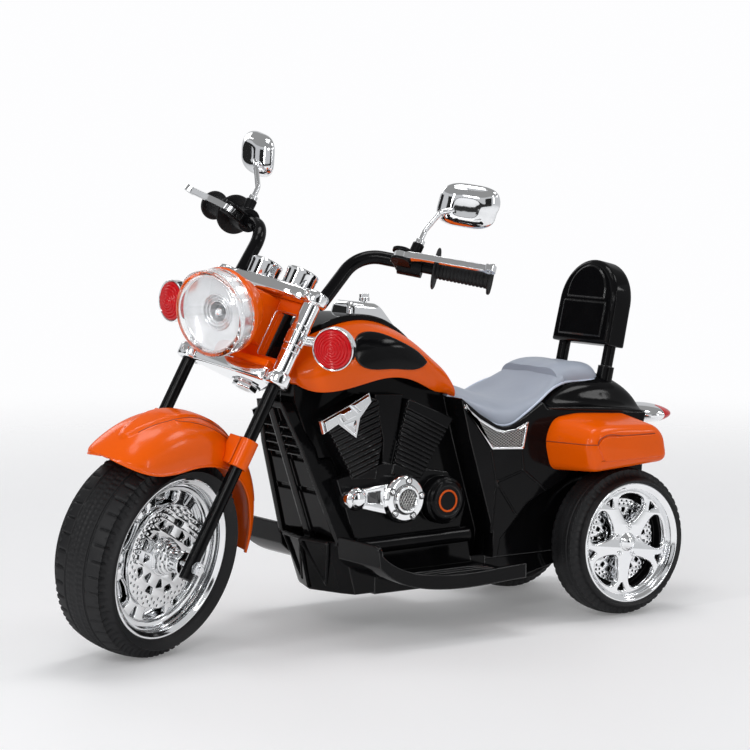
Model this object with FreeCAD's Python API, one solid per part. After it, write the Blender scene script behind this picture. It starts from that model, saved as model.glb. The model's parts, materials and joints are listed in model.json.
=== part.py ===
"""A child's ride-on electric trike, styled as a cruiser motorbike.

Sizes are in millimetres. X points forward, Y to the rider's left and Z up.
The origin is on the floor, under the middle of the rear axle.
"""
import FreeCAD, Part
import math
import os

# Fits and walls
WALL = 3.0
RUNNING_GAP = 0.05
MOVING_GAP = 0.5

# Front wheel
FRONT_TYRE_R = 113.0
FRONT_TYRE_W = 84.0
FRONT_CROWN_R = 115.0
FRONT_TREAD_W = 60.0
FRONT_RIM_R = 86.0
FRONT_RIM_W = 56.0
FRONT_HUB_R = 17.0
FRONT_AXLE_R = 4.0

# Rear wheels
REAR_TYRE_R = 85.0
REAR_TYRE_W = 50.0
REAR_CROWN_R = 90.0
REAR_TREAD_W = 34.0
REAR_RIM_R = 67.0
REAR_RIM_W = 42.0
REAR_HUB_R = 15.0
REAR_TRACK = 208.0
REAR_AXLE_R = 5.0

# Wheel details
RIM_LIP = 3.0
DISC_THICKNESS = 3.0
DISC_HOLE_R = 1.7
SIPE_COUNT = 40
SIPE_WIDTH = 2.0
SIPE_DEPTH = 1.6

# Steering
HEAD_X = 418.5
RAKE = 29.4
STEER_REST = 22.0
AXLE_DROP = 251.5
FORK_AHEAD = 32.0
FORK_SPAN = 120.0
FORK_R = 7.0
FORK_END = 15.0
COLLAR_WALL = 3.5
STEM_R = 9.0
HEAD_TUBE_R = 16.0
LOWER_CLAMP_BASE = -41.0
LOWER_CLAMP_H = 16.0
UPPER_CLAMP_BASE = 55.0
UPPER_CLAMP_H = 15.0
CLAMP_W = 150.0
HEAD_CLEARANCE = 3.0

# Handlebars and controls
BAR_R = 7.5
BAR_FOOT = (17.0, 59.0, 63.0)
BAR_CORNER = (2.0, 66.0, 134.0)
BAR_END = (-59.0, 197.0, 162.5)
BAR_BEND_R = 38.0
GRIP_R = 11.0
GRIP_FLANGE_R = 23.0
GRIP_END_R = 17.0
GRIP_LENGTH = 63.0
PERCH_R = 13.5
PERCH_LENGTH = 26.0
PERCH_PLACE = 58.0
LEVER_LENGTH = 98.0
LEVER_TURN = 14.0
LEVER_H = 7.0
LEVER_PIN_R = 2.5
MIRROR_W = 66.0
MIRROR_H = 48.0
MIRROR_DEPTH = 18.0
MIRROR_TOE = 25.0
MIRROR_STEM_R = 3.0

# Lights
LAMP_PLACE = (103.0, 0.0, -1.0)
LAMP_DIP = 5.0
LAMP_R = 44.0
LAMP_LIP = 2.5
LAMP_DEPTH = 58.0
INDICATOR_PLACE = (37.5, 113.5, 14.5)
INDICATOR_R = 23.0
INDICATOR_DEPTH = 25.0
INDICATOR_TURN = 15.0
INDICATOR_COLLAR_H = 16.0
GAUGE_R = 16.0
GAUGE_H = 18.0
GAUGE_SPAN = 50.0

# Front fender: angle round the wheel, crown radius, edge radius, half width
FENDER_SECTIONS = [
    (186.0, 136.0, 122.0, 36.0),
    (165.0, 142.0, 119.0, 41.0),
    (140.0, 148.0, 115.0, 46.0),
    (113.0, 151.0, 108.0, 48.0),
    (92.0, 150.5, 104.0, 48.0),
    (76.0, 149.0, 105.0, 47.5),
    (65.0, 146.0, 114.0, 45.5),
    (58.0, 144.0, 125.0, 42.0),
    (53.0, 143.0, 135.0, 36.0),
]
FENDER_LUG_BASE = -137.0
FENDER_LUG_H = 32.0
FENDER_LUG_R = 11.0
FENDER_WEB_INNER = 41.0

# Body: the halves of the tub meet on the middle plane
CORE_W = 88.0
TUB_W = 120.0
PANEL_W = 156.0
FLOOR_Z = 72.0
BELLY_Z = 46.0
BELLY_W = 116.0
BELLY_FRONT = -110.0
BELLY_REAR = 24.0
COWL_LOW = 108.0
COWL_HIGH = 262.0
NECK_W = 30.0
FIN_COUNT = 13
FIN_GAP = 1.8

# Saddle: it reaches from behind the tank to the raised pad
SADDLE_GAP = 213.5
SADDLE_BACK = 90.0

# Seat line, shared by the tub and the seat: share of the saddle's length, z
SEAT_SHAPE = [(1.0, 259.0), (0.78, 240.0), (0.58, 226.5), (0.48, 223.0), (0.375, 224.0), (0.2, 234.0),
              (0.0, 247.5)]
DECK_FRONT = (84.0, 240.0)
DECK_REAR = (-70.0, 226.0)
TAIL_LOW = [(-78.0, 206.0), (-72.0, 130.0), (-50.0, FLOOR_Z)]

# Tank, from front to rear: distance from the head, top, low edge, half width
TANK_SECTIONS = [
    (-8.0, 308.0, 288.0, 60.0),
    (-19.0, 319.0, 278.5, 69.0),
    (-44.0, 336.0, 275.5, 78.0),
    (-78.0, 347.0, 281.0, 82.0),
    (-113.0, 349.0, 287.0, 82.0),
    (-155.0, 336.0, 281.0, 77.0),
    (-193.0, 309.0, 266.0, 66.0),
    (-221.0, 279.0, 256.0, 55.0),
]
TANK_FLAT = 22.0
PANEL_RISE = 2.0

# Saddle: share of its length, half width, height of the crown, drop of the crown at the shoulder
SADDLE_SECTIONS = [
    (1.0, 50.0, 277.0, 7.0),
    (0.78, 63.0, 270.0, 9.0),
    (0.58, 70.0, 262.0, 8.0),
    (0.375, 73.0, 255.0, 6.0),
    (0.2, 73.0, 252.0, 4.0),
    (0.0, 71.0, 253.5, 2.0),
]

# Step behind the saddle, in the same way but with x instead of the share
STEP_SECTIONS = [
    (70.0, 65.0, 262.0, 1.5),
    (55.0, 59.0, 272.0, 1.5),
    (42.0, 56.0, 281.0, 2.0),
]
PILLION_W = 102.0
PILLION_TOP = 287.0
PILLION_FRONT = 50.0
PILLION_REAR = -19.0
PILLION_BASE = 264.0

# Rear fender: x, crown height, half width
REAR_FENDER_SECTIONS = [
    (82.0, 252.0, 78.0),
    (50.0, 268.0, 80.0),
    (12.0, 275.0, 80.0),
    (-22.0, 273.0, 79.0),
    (-48.0, 264.0, 76.0),
    (-65.0, 249.0, 71.0),
    (-74.0, 233.0, 65.0),
]

# Saddlebags: outlines of the inner and outer sides, from the lower front corner upward
BAG_OUTER = 140.0
BAG_BASE = 173.0
BAG_INNER_SIDE = [(78.0, BAG_BASE - 5), (87.0, 204.0), (76.0, 229.0), (42.0, 233.0), (-32.0, 228.0),
                  (-45.0, 211.0), (-50.0, BAG_BASE + 3)]
BAG_OUTER_SIDE = [(64.0, BAG_BASE - 2), (69.0, 203.0), (59.0, 219.0), (36.0, 222.0), (-29.0, 219.0),
                  (-42.0, 208.0), (-48.0, BAG_BASE + 4)]
BAG_PANEL = [(60.0, 203.0), (51.0, 211.0), (-30.0, 210.0), (-38.0, 184.0), (49.0, 183.0)]
BAG_EDGE_R = 8.0

# Side grilles
MESH_PITCH = 5.0

# Footboards
BOARD_OUTER = 139.0
BOARD_REAR = 160.0
BOARD_WALL = 5.0
TOE_H = 24.0

# Backrest
BACKREST_LEAN = 13.0
BACKREST_W = 104.0
BACKREST_H = 100.0
BACKREST_T = 30.0
BACKREST_EDGE_R = 6.0
BACKREST_BASE = (-38.0, 0.0, 303.0)
STRUT_SPAN = 84.0
STRUT_R = 7.0
STRUT_SOCKET_R = 9.5

# Drive
BATTERY = (70.0, 48.0, 100.0)
BATTERY_X = 92.0
GEARBOX = (74.0, 30.0, 56.0)
MOTOR_R = 18.0
MOTOR_LENGTH = 58.0
SOCKET_R = 7.0
SOCKET_BORE_R = 3.0
SOCKET_DEPTH = 9.0
SOCKET_PLACE = (120.0, 168.0)

# Foot pedal, switches
PEDAL_PIN_R = 2.0
PEDAL_LENGTH = 62.0
PEDAL_W = 38.0
PEDAL_X = 205.0
PEDAL_Y = -100.0
SWITCH_PLACE = (146.0, 181.0)
KNOB_R = 6.0
KNOB_H = 8.0
KNOB_SHAFT_R = 2.5
KNOB_X = -135.0

# Derived places
SADDLE_LENGTH = HEAD_X - SADDLE_GAP - SADDLE_BACK
SEAT_LINE = [(SADDLE_BACK + share * SADDLE_LENGTH, z) for share, z in SEAT_SHAPE]
FORK_HALF = FORK_SPAN / 2
CORE_HALF = CORE_W / 2
TUB_HALF = TUB_W / 2
PANEL_HALF = PANEL_W / 2
RAKE_SIN = math.sin(math.radians(RAKE))
RAKE_COS = math.cos(math.radians(RAKE))
STEER_SIN = math.sin(math.radians(STEER_REST))
STEER_COS = math.cos(math.radians(STEER_REST))
WHEEL_LEAN = math.asin(STEER_SIN * RAKE_SIN)
FRONT_AXLE_Z = (FRONT_TYRE_R - FRONT_CROWN_R) * math.cos(WHEEL_LEAN) + FRONT_CROWN_R
HEAD_Z = FRONT_AXLE_Z - FORK_AHEAD * STEER_COS * RAKE_SIN + AXLE_DROP * RAKE_COS
UPPER_CLAMP_TOP = UPPER_CLAMP_BASE + UPPER_CLAMP_H
LOWER_CLAMP_TOP = LOWER_CLAMP_BASE + LOWER_CLAMP_H
SIDE = FreeCAD.Vector(0, 1, 0)
UP = FreeCAD.Vector(0, 0, 1)
TILT = FreeCAD.Placement(FreeCAD.Vector(HEAD_X, 0, HEAD_Z), FreeCAD.Rotation(SIDE, -RAKE))
STEER = TILT.multiply(FreeCAD.Placement(FreeCAD.Vector(), FreeCAD.Rotation(UP, STEER_REST)))
AHEAD = FreeCAD.Vector(RAKE_COS, 0, -RAKE_SIN)
FRONT_AXLE = FreeCAD.Vector(FORK_AHEAD, 0, -AXLE_DROP)


def point(x, y, z):
    """A point or direction."""
    return FreeCAD.Vector(x, y, z)


def edge(points):
    """An edge through points: a line for two, an arc for three, a smooth curve for more."""
    if len(points) == 2:
        return Part.LineSegment(*points).toShape()
    if len(points) == 3:
        return Part.Arc(*points).toShape()
    curve = Part.BSplineCurve()
    curve.interpolate(points)
    return curve.toShape()


def closed(runs):
    """A closed wire of edges, each run starting where the last one ended."""
    return Part.Wire([edge(run) for run in runs])


def fused(shapes):
    """One solid from shapes that overlap or touch."""
    return shapes[0].multiFuse(shapes[1:]).removeSplitter()


def mirrored(shape):
    """The same piece on the other side."""
    return shape.mirror(point(0, 0, 0), SIDE)


def pair(shape):
    """A piece and its mirror image, as two solids."""
    return Part.makeCompound([shape, mirrored(shape)])


def rod(start, end, radius):
    """A round bar between two points."""
    return Part.makeCylinder(radius, (end - start).Length, start, end - start)


def block(x0, x1, y0, y1, z0, z1):
    """A box between two corners."""
    return Part.makeBox(x1 - x0, y1 - y0, z1 - z0, point(x0, y0, z0))


def outline(corners, y):
    """A closed wire through (x, z) corners."""
    return Part.makePolygon([point(x, y, z) for x, z in corners + corners[:1]])


def slab(corners, y0, y1):
    """A flat piece: an outline of (x, z) corners drawn across from y0 to y1."""
    return Part.Face(outline(corners, y0)).extrude(point(0, y1 - y0, 0))


def curved_slab(runs, y0, y1):
    """A flat piece whose outline is made of (x, z) runs."""
    wire = closed([[point(x, y0, z) for x, z in run] for run in runs])
    return Part.Face(wire).extrude(point(0, y1 - y0, 0))


def inset_slab(corners, distance, y0, y1):
    """A flat piece drawn in from an outline by a wall."""
    wire = outline(corners, y0).makeOffset2D(-distance)
    return Part.Face(wire).extrude(point(0, y1 - y0, 0))


def turned(runs, origin, axis):
    """A turned piece: runs of (radius, height along the axis), spun round the axis."""
    out = axis.cross(point(0, 1, 0) if abs(axis.y) < 0.9 else point(0, 0, 1))
    out.normalize()
    wire = closed([[origin + out * r + axis * h for r, h in run] for run in runs])
    return Part.Face(wire).revolve(origin, axis, 360)


def corners_to_runs(corners):
    """Straight runs round a list of corners."""
    return [[a, b] for a, b in zip(corners, corners[1:] + corners[:1])]


def dome(radius, base, top):
    """Three (radius, height) points of a round cap, from its top on the axis to its rim."""
    rise = top - base
    ball = (radius ** 2 + rise ** 2) / (2 * rise)
    middle = radius / 2
    return [(0, top), (middle, top - ball + math.sqrt(ball ** 2 - middle ** 2)), (radius, base)]


def from_head(points):
    """(x, z) points given from the steering head, in the frame of the floor and rear axle."""
    return [(HEAD_X + x, z) for x, z in points]


def around(shape, count, centre, axis):
    """Copies of a shape, evenly spaced round an axis."""
    copies = []
    for index in range(count):
        copy = shape.copy()
        copy.rotate(centre, axis, 360.0 * index / count)
        copies.append(copy)
    return copies


def bent_tube(corners, radius, bend):
    """A tube along straight runs joined by bends."""
    edges = []
    start = corners[0]
    for corner, following in zip(corners[1:-1], corners[2:]):
        back = (start - corner).normalize()
        onward = (following - corner).normalize()
        half_turn = (math.pi - back.getAngle(onward)) / 2
        reach = bend * math.tan(half_turn)
        middle = (back + onward).normalize()
        dip = bend / math.cos(half_turn) - bend
        edges.append(edge([start, corner + back * reach]))
        edges.append(edge([corner + back * reach, corner + middle * dip, corner + onward * reach]))
        start = corner + onward * reach
    edges.append(edge([start, corners[-1]]))
    end = Part.Wire(Part.makeCircle(radius, corners[0], corners[1] - corners[0]))
    return Part.Wire(edges).makePipeShell([end], True, True)


def steered(shape):
    """A piece of the steering, moved from the steering's own upright frame to its place."""
    moved = shape.copy()
    moved.Placement = STEER.multiply(moved.Placement)
    return moved


def tyre(centre, radius, width, crown, tread, rim_radius, rim_width, rim):
    """A tyre turned about Y, seated on its rim, with a domed tread and cross cuts on both shoulders."""
    half = tread / 2
    sag = crown - math.sqrt(crown ** 2 - half ** 2)
    shoulder = radius - sag
    side = (shoulder + rim_radius) / 2
    bulge = width / 2
    knee = (shoulder + 0.7 * (side - shoulder), bulge - 0.12 * width)
    seat = rim_width / 2
    runs = [
        [(shoulder, -half), (radius, 0), (shoulder, half)],
        [(shoulder, half), (knee[0], knee[1]), (side, bulge)],
        [(side, bulge), (rim_radius, seat)],
        [(rim_radius, seat), (rim_radius, -seat)],
        [(rim_radius, -seat), (side, -bulge)],
        [(side, -bulge), (knee[0], -knee[1]), (shoulder, -half)],
    ]
    body = turned(runs, centre, SIDE).cut(rim)
    cut_length = bulge - half
    deep = block(-SIPE_WIDTH / 2, SIPE_WIDTH / 2, half - 6, half + cut_length, shoulder - SIPE_DEPTH, radius)
    deep.rotate(point(0, half, shoulder), point(1, 0, 0), -18)
    sipes = []
    for sipe in [deep, mirrored(deep)]:
        sipe.translate(centre)
        sipes += around(sipe, SIPE_COUNT, centre, SIDE)
    return body.cut(sipes)


def rim_ring(centre, radius, width, dish, inner):
    """The rim's barrel with a lip and a dished face on both sides."""
    half = width / 2
    seat = [(radius, -half), (radius, half)]
    left = [
        (radius + RIM_LIP, half + 1), (radius + RIM_LIP, half + 5), (radius - 1, half + 6),
        (inner + 9, half - dish + 4), (inner, half - dish + 3), (inner, half - dish - 1),
        (inner + 10, half - dish - 1), (radius - RIM_LIP - 1, half - 2),
    ]
    right = [(r, -y) for r, y in reversed(left)]
    return turned(corners_to_runs(seat + left + right), centre, SIDE)


def drilled_disc(centre, outer, inner, y, rows, per_row):
    """A brake disc with rings of small holes."""
    place = centre + point(0, y, 0)
    disc = Part.makeCylinder(outer, DISC_THICKNESS, place, SIDE)
    holes = [Part.makeCylinder(inner, DISC_THICKNESS, place, SIDE)]
    for row in range(rows):
        ring = inner + (outer - inner) * (row + 0.7) / (rows + 0.4)
        hole = Part.makeCylinder(DISC_HOLE_R, DISC_THICKNESS, place + point(0, 0, ring), SIDE)
        hole.rotate(centre, SIDE, 180.0 * row / per_row)
        holes += around(hole, per_row, centre, SIDE)
    return disc.cut(holes)


def front_wheel():
    """The front tyre and its rim: six arms over a drilled disc on each side of the hub."""
    centre = FRONT_AXLE
    inner = FRONT_RIM_R - 26
    dish = 12.0
    face = FRONT_RIM_W / 2 - dish
    ring = rim_ring(centre, FRONT_RIM_R, FRONT_RIM_W, dish, inner)
    rubber = tyre(centre, FRONT_TYRE_R, FRONT_TYRE_W, FRONT_CROWN_R, FRONT_TREAD_W, FRONT_RIM_R,
                  FRONT_RIM_W, ring)
    hub_half = FORK_HALF - FORK_R - 2
    hub = Part.makeCylinder(FRONT_HUB_R, 2 * hub_half, centre - SIDE * hub_half, SIDE)
    sides = [ring, hub]
    disc = drilled_disc(centre, inner - 4, FRONT_HUB_R + 13, face - 1, 3, 24)
    arm = slab([(-9, FRONT_HUB_R - 4), (9, FRONT_HUB_R - 4), (5, inner - 12), (8, inner + 3),
                (-8, inner + 3), (-5, inner - 12)], face + 1, face + 6)
    arm.translate(centre)
    collar = turned(corners_to_runs([(FRONT_HUB_R - 6, face), (FRONT_HUB_R + 6, face),
                                     (FRONT_HUB_R + 6, face + 8), (FRONT_HUB_R + 1, face + 14),
                                     (FRONT_HUB_R - 6, face + 14)]), centre, SIDE)
    spokes = [disc, collar] + around(arm, 6, centre, SIDE)
    for spoke in spokes:
        opposite = spoke.copy()
        opposite.rotate(centre, UP, 180)
        sides += [spoke, opposite]
    bore = Part.makeCylinder(FRONT_AXLE_R + RUNNING_GAP, 4 * hub_half, centre - SIDE * 2 * hub_half, SIDE)
    return rubber, fused(sides).cut(bore)


def rear_wheel():
    """The left rear tyre and its rim: five forked spokes over a drilled disc."""
    centre = point(0, REAR_TRACK / 2, REAR_TYRE_R)
    inner = REAR_RIM_R - 11
    dish = 7.0
    face = REAR_RIM_W / 2 - dish
    ring = rim_ring(centre, REAR_RIM_R, REAR_RIM_W, dish, inner)
    rubber = tyre(centre, REAR_TYRE_R, REAR_TYRE_W, REAR_CROWN_R, REAR_TREAD_W, REAR_RIM_R, REAR_RIM_W, ring)
    hub_in = TUB_HALF + 3 - REAR_TRACK / 2
    hub = Part.makeCylinder(REAR_HUB_R, face + 6 - hub_in, centre + SIDE * hub_in, SIDE)
    cap = turned([[(0, face + 4), (REAR_HUB_R - 1, face + 4)],
                  [(REAR_HUB_R - 1, face + 4), (REAR_HUB_R - 1, face + 8)],
                  list(reversed(dome(REAR_HUB_R - 1, face + 8, face + 14))),
                  [(0, face + 14), (0, face + 4)]], centre, SIDE)
    stem = slab([(-7, REAR_HUB_R - 5), (7, REAR_HUB_R - 5), (6, REAR_HUB_R + 13), (-6, REAR_HUB_R + 13)],
                face - 2, face + 5)
    reach = inner + 4
    prong = slab([(-3, REAR_HUB_R + 4), (5, REAR_HUB_R + 6), (20, reach - 6), (12, reach)],
                 face - 2, face + 4)
    spoke = fused([stem, prong, prong.mirror(point(0, 0, 0), point(1, 0, 0))])
    spoke.translate(centre)
    disc = drilled_disc(centre, inner - 8, REAR_HUB_R + 6, face - 12, 2, 20)
    carrier = slab([(-5, REAR_HUB_R - 4), (5, REAR_HUB_R - 4), (4, REAR_HUB_R + 10), (-4, REAR_HUB_R + 10)],
                   face - 12, face - 9)
    carrier.translate(centre)
    nut = Part.makeCylinder(2.6, 4, centre + point(0, face + 4, REAR_HUB_R + 5), SIDE)
    pieces = [ring, hub, cap, disc] + around(spoke, 5, centre, SIDE)
    pieces += around(carrier, 5, centre, SIDE) + around(nut, 5, centre, SIDE)
    bore_depth = face + 4 - hub_in
    bore = Part.makeCylinder(REAR_AXLE_R + RUNNING_GAP, bore_depth, centre + SIDE * hub_in, SIDE)
    return rubber, fused(pieces).cut(bore)


def rear_axle():
    """The steel bar that both rear wheels turn on."""
    reach = REAR_TRACK / 2 + REAR_RIM_W / 2 - 4
    return rod(point(0, -reach, REAR_TYRE_R), point(0, reach, REAR_TYRE_R), REAR_AXLE_R)


def front_axle():
    """The front axle bolt, with a hexagon nut outside each fork leg."""
    reach = FORK_HALF + FORK_R
    bar = rod(FRONT_AXLE - SIDE * (reach + 8), FRONT_AXLE + SIDE * (reach + 8), FRONT_AXLE_R)
    flats = [(FORK_AHEAD + 7.5 * math.cos(math.radians(a)), -AXLE_DROP + 7.5 * math.sin(math.radians(a)))
             for a in range(0, 360, 60)]
    nut = slab(flats, reach, reach + 6)
    return fused([bar, nut, mirrored(nut)])


def fork_tubes(axle):
    """The two fork legs, drilled for the axle."""
    low = point(FORK_AHEAD, FORK_HALF, -AXLE_DROP - FORK_END)
    leg = rod(low, point(FORK_AHEAD, FORK_HALF, UPPER_CLAMP_BASE + 5), FORK_R)
    return pair(leg.cut(axle))


def steering_stem():
    """The pin that the clamps share, turning in the head tube."""
    return rod(point(0, 0, LOWER_CLAMP_BASE - 6), point(0, 0, UPPER_CLAMP_TOP - 4), STEM_R)


def clamp_plate(base, height, front):
    """A clamp seen from above: straight across the forks, with a tail round the stem."""
    half = CLAMP_W / 2
    back = STEM_R + 7
    corners = [(front, -half + 6), (front, half - 6), (front - 6, half), (14, half), (8, half - 8),
               (-back, back), (-back, -back), (8, -half + 8), (14, -half), (front - 6, -half)]
    wire = Part.makePolygon([point(x, y, base) for x, y in corners + corners[:1]])
    return Part.Face(wire).extrude(UP * height)


def indicator_root():
    """Where the left indicator's collar grips the fork leg."""
    return point(FORK_AHEAD, FORK_HALF, INDICATOR_PLACE[2])


def lower_clamp(stem, forks):
    """The lower clamp, with a collar round each leg."""
    plate = clamp_plate(LOWER_CLAMP_BASE, LOWER_CLAMP_H, FORK_AHEAD + 12)
    base = point(FORK_AHEAD, FORK_HALF, LOWER_CLAMP_BASE)
    collar = rod(base, indicator_root() - UP * INDICATOR_COLLAR_H / 2, FORK_R + COLLAR_WALL)
    return fused([plate, collar, mirrored(collar)]).cut([stem, forks])


def upper_clamp(stem, forks, bars):
    """The upper clamp, with a collar round the top of each leg and a raised middle."""
    plate = clamp_plate(UPPER_CLAMP_BASE, UPPER_CLAMP_H, FORK_AHEAD + 14)
    top = point(FORK_AHEAD, FORK_HALF, UPPER_CLAMP_TOP)
    collar = rod(indicator_root() + UP * INDICATOR_COLLAR_H / 2, top, FORK_R + COLLAR_WALL)
    return fused([plate, collar, mirrored(collar)]).cut([stem, forks, bars])


def clamp_bolts():
    """The bolts across the clamps and the nut under the stem."""
    bolts = []
    for base, height, front in [(LOWER_CLAMP_BASE, LOWER_CLAMP_H, FORK_AHEAD + 12),
                                (UPPER_CLAMP_BASE, UPPER_CLAMP_H, FORK_AHEAD + 14)]:
        head = Part.makeCylinder(4.5, 3, point(front, FORK_HALF, base + height / 2), point(1, 0, 0))
        bolts += [head, mirrored(head)]
    flats = [point(14 * math.cos(math.radians(a)), 14 * math.sin(math.radians(a)), LOWER_CLAMP_BASE - 6)
             for a in range(0, 361, 60)]
    nut = Part.Face(Part.makePolygon(flats)).extrude(UP * 6)
    bolts.append(nut.cut(steering_stem()))
    return Part.makeCompound(bolts)


def bar_along():
    """The direction of the left bar's outer run."""
    return (point(*BAR_END) - point(*BAR_CORNER)).normalize()


def bar_point(distance):
    """A point on the left bar's outer run, measured from its corner."""
    return point(*BAR_CORNER) + bar_along() * distance


def bar_length():
    """Length of the left bar's outer run."""
    return (point(*BAR_END) - point(*BAR_CORNER)).Length


def bar_rise():
    """How steeply the left bar's outer run climbs, in degrees."""
    return math.degrees(math.atan2(bar_along().z, bar_along().y))


def handlebar():
    """The left bar: up from the clamp, then out and back to the grip."""
    corners = [point(*BAR_FOOT), point(*BAR_CORNER), bar_point(bar_length() - 4)]
    return bent_tube(corners, BAR_R, BAR_BEND_R)


def grip(bar):
    """The left grip: a ribbed sleeve with a thin flange at both ends."""
    start = bar_point(bar_length() - GRIP_LENGTH)
    outline_points = [(0.0, 0.0), (GRIP_FLANGE_R, 0.0), (GRIP_FLANGE_R, 2.5), (GRIP_R, 3.5)]
    rib_count = 6
    pitch = (GRIP_LENGTH - 14.0) / rib_count
    for index in range(rib_count):
        low = 7.0 + pitch * index
        outline_points += [(GRIP_R, low), (GRIP_R - 1, low + 1), (GRIP_R - 1, low + 2), (GRIP_R, low + 3)]
    outline_points += [(GRIP_R, GRIP_LENGTH - 4), (GRIP_END_R, GRIP_LENGTH - 3),
                       (GRIP_END_R, GRIP_LENGTH), (0.0, GRIP_LENGTH)]
    return turned(corners_to_runs(outline_points), start, bar_along()).cut(bar)


def lever_pivot():
    """Where the left lever's pin stands."""
    return bar_point(PERCH_PLACE) + point(26, 2, -2)


def lever_frame():
    """The turn that lays the left lever along the rising, swept-back bar."""
    pivot = lever_pivot()
    turn = FreeCAD.Rotation(point(1, 0, 0), bar_rise()).multiply(FreeCAD.Rotation(UP, LEVER_TURN))
    return FreeCAD.Placement(pivot, turn).multiply(FreeCAD.Placement(-pivot, FreeCAD.Rotation()))


def mirror_socket():
    """Where the left mirror's stem enters the perch."""
    return bar_point(PERCH_PLACE) + point(2, 0, PERCH_R + 9)


def perch(bar):
    """The left perch: a clamp round the bar, with the lever's fork and the mirror's socket."""
    middle = bar_point(PERCH_PLACE)
    along = bar_along()
    ring = rod(middle - along * PERCH_LENGTH / 2, middle + along * PERCH_LENGTH / 2, PERCH_R)
    pivot = lever_pivot()
    cheek = LEVER_H / 2 + MOVING_GAP + 3
    nose = rod(pivot - UP * cheek, pivot + UP * cheek, 10.5)
    web = block(middle.x, pivot.x, pivot.y - 10, pivot.y + 9, pivot.z - cheek, pivot.z + cheek)
    slot_half = LEVER_H / 2 + MOVING_GAP
    slot = block(pivot.x - 11, pivot.x + 14, pivot.y - 20, pivot.y + 24,
                 pivot.z - slot_half, pivot.z + slot_half)
    pin = rod(pivot - UP * cheek, pivot + UP * cheek, LEVER_PIN_R)
    for piece in (nose, web, slot, pin):
        piece.Placement = lever_frame().multiply(piece.Placement)
    socket = mirror_socket()
    tower = rod(point(socket.x, socket.y, middle.z), socket, MIRROR_STEM_R + 3.5)
    bore = rod(socket - UP * 10, socket, MIRROR_STEM_R + RUNNING_GAP)
    solid = fused([ring, nose, web, tower]).cut([slot, bore, bar])
    return solid.fuse(pin).removeSplitter()


def lever():
    """The left lever: an eye on the pin, a tapered blade and a drilled ball end."""
    pivot = lever_pivot()
    base = pivot - UP * LEVER_H / 2
    eye = Part.makeCylinder(8, LEVER_H, base)
    tip = base + point(-6, LEVER_LENGTH, 0)
    end = Part.makeCylinder(6.5, LEVER_H, tip)
    corners = [(6, 4), (6, 24), (1, 60), (-3.5, LEVER_LENGTH), (-8.5, LEVER_LENGTH), (-4, 60), (0, 24),
               (-6, 4)]
    wire = Part.makePolygon([base + point(x, y, 0) for x, y in corners + corners[:1]])
    blade = Part.Face(wire).extrude(UP * LEVER_H)
    eye_hole = Part.makeCylinder(LEVER_PIN_R + RUNNING_GAP, LEVER_H, base)
    tip_hole = Part.makeCylinder(2.5, LEVER_H, tip)
    solid = fused([eye, blade, end]).cut([eye_hole, tip_hole])
    solid.Placement = lever_frame().multiply(solid.Placement)
    return solid


def mirror_facing():
    """The direction that the back of the left mirror faces: ahead, toed outward."""
    toe = math.radians(MIRROR_TOE)
    return AHEAD * math.cos(toe) + SIDE * math.sin(toe)


def mirror_head(centre):
    """A rounded shell, domed on the side away from the rider."""
    facing = mirror_facing()
    rising = point(RAKE_SIN, 0, RAKE_COS)
    outward = rising.cross(facing)
    wires = []
    for share, depth in [(0.96, 0.0), (1.0, 0.18), (0.86, 0.66), (0.4, 1.0)]:
        half_w = MIRROR_W / 2 * share
        half_h = MIRROR_H / 2 * share
        ring = []
        for step in range(16):
            turn = 2 * math.pi * step / 16
            across = math.copysign(abs(math.cos(turn)) ** 0.62, math.cos(turn)) * half_w
            rise = math.copysign(abs(math.sin(turn)) ** 0.62, math.sin(turn)) * half_h
            flat = outward * (across + 0.12 * rise) + rising * rise
            ring.append(centre + facing * MIRROR_DEPTH * depth + flat)
        curve = Part.BSplineCurve()
        curve.interpolate(ring, PeriodicFlag=True)
        wires.append(Part.Wire(curve.toShape()))
    return Part.makeLoft(wires, True)


def mirror():
    """The left mirror: a bent stem in its socket and a shell at the top."""
    socket = mirror_socket()
    centre = socket + point(-16, 28, 62)
    behind = centre + mirror_facing() * MIRROR_DEPTH * 0.6
    corners = [socket - UP * 8, socket + UP * 17, socket + point(5, 12, 40), behind]
    stem = bent_tube(corners, MIRROR_STEM_R, 9.0)
    collar = rod(socket + UP * 0.4, socket + UP * 5, MIRROR_STEM_R + 2.5)
    return fused([stem, collar, mirror_head(centre)])


def lamp_axis():
    """The direction that the headlight points in."""
    dip = math.radians(LAMP_DIP + RAKE)
    return point(math.cos(dip), 0, -math.sin(dip))


def lamp_bucket(shrink):
    """The headlight's bucket as a filled bowl, drawn in by a wall."""
    r = LAMP_R - shrink
    back = LAMP_DEPTH - shrink
    runs = [
        [(0, -back), (0.36 * r, -back + 1), (0.72 * r, -0.76 * back), (0.9 * r, -0.5 * back), (r, -8)],
        [(r, -8), (r, 0)],
        [(r, 0), (0, 0)],
        [(0, 0), (0, -back)],
    ]
    return turned(runs, point(*LAMP_PLACE), lamp_axis())


def headlight_shell():
    """The headlight's bucket, open at the front, with a rolled lip."""
    outer = LAMP_R + LAMP_LIP
    lip = turned(corners_to_runs([(LAMP_R - 1, -9), (outer, -6), (outer, 0), (LAMP_R - 1, 0)]),
                 point(*LAMP_PLACE), lamp_axis())
    return fused([lamp_bucket(0), lip]).cut(lamp_bucket(WALL))


def headlight_reflector():
    """A ringed bowl behind the lens, resting inside the bucket's mouth."""
    outer = LAMP_R - WALL
    corners = [(0, -28), (9, -28), (11, -22), (17, -20), (24, -13), (31, -10), (outer - 5, -3), (outer, -3),
               (outer, 0), (outer - 6, 0), (30, -8), (23, -11), (16, -18), (10, -20), (8, -26), (0, -26)]
    return turned(corners_to_runs(corners), point(*LAMP_PLACE), lamp_axis())


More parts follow.
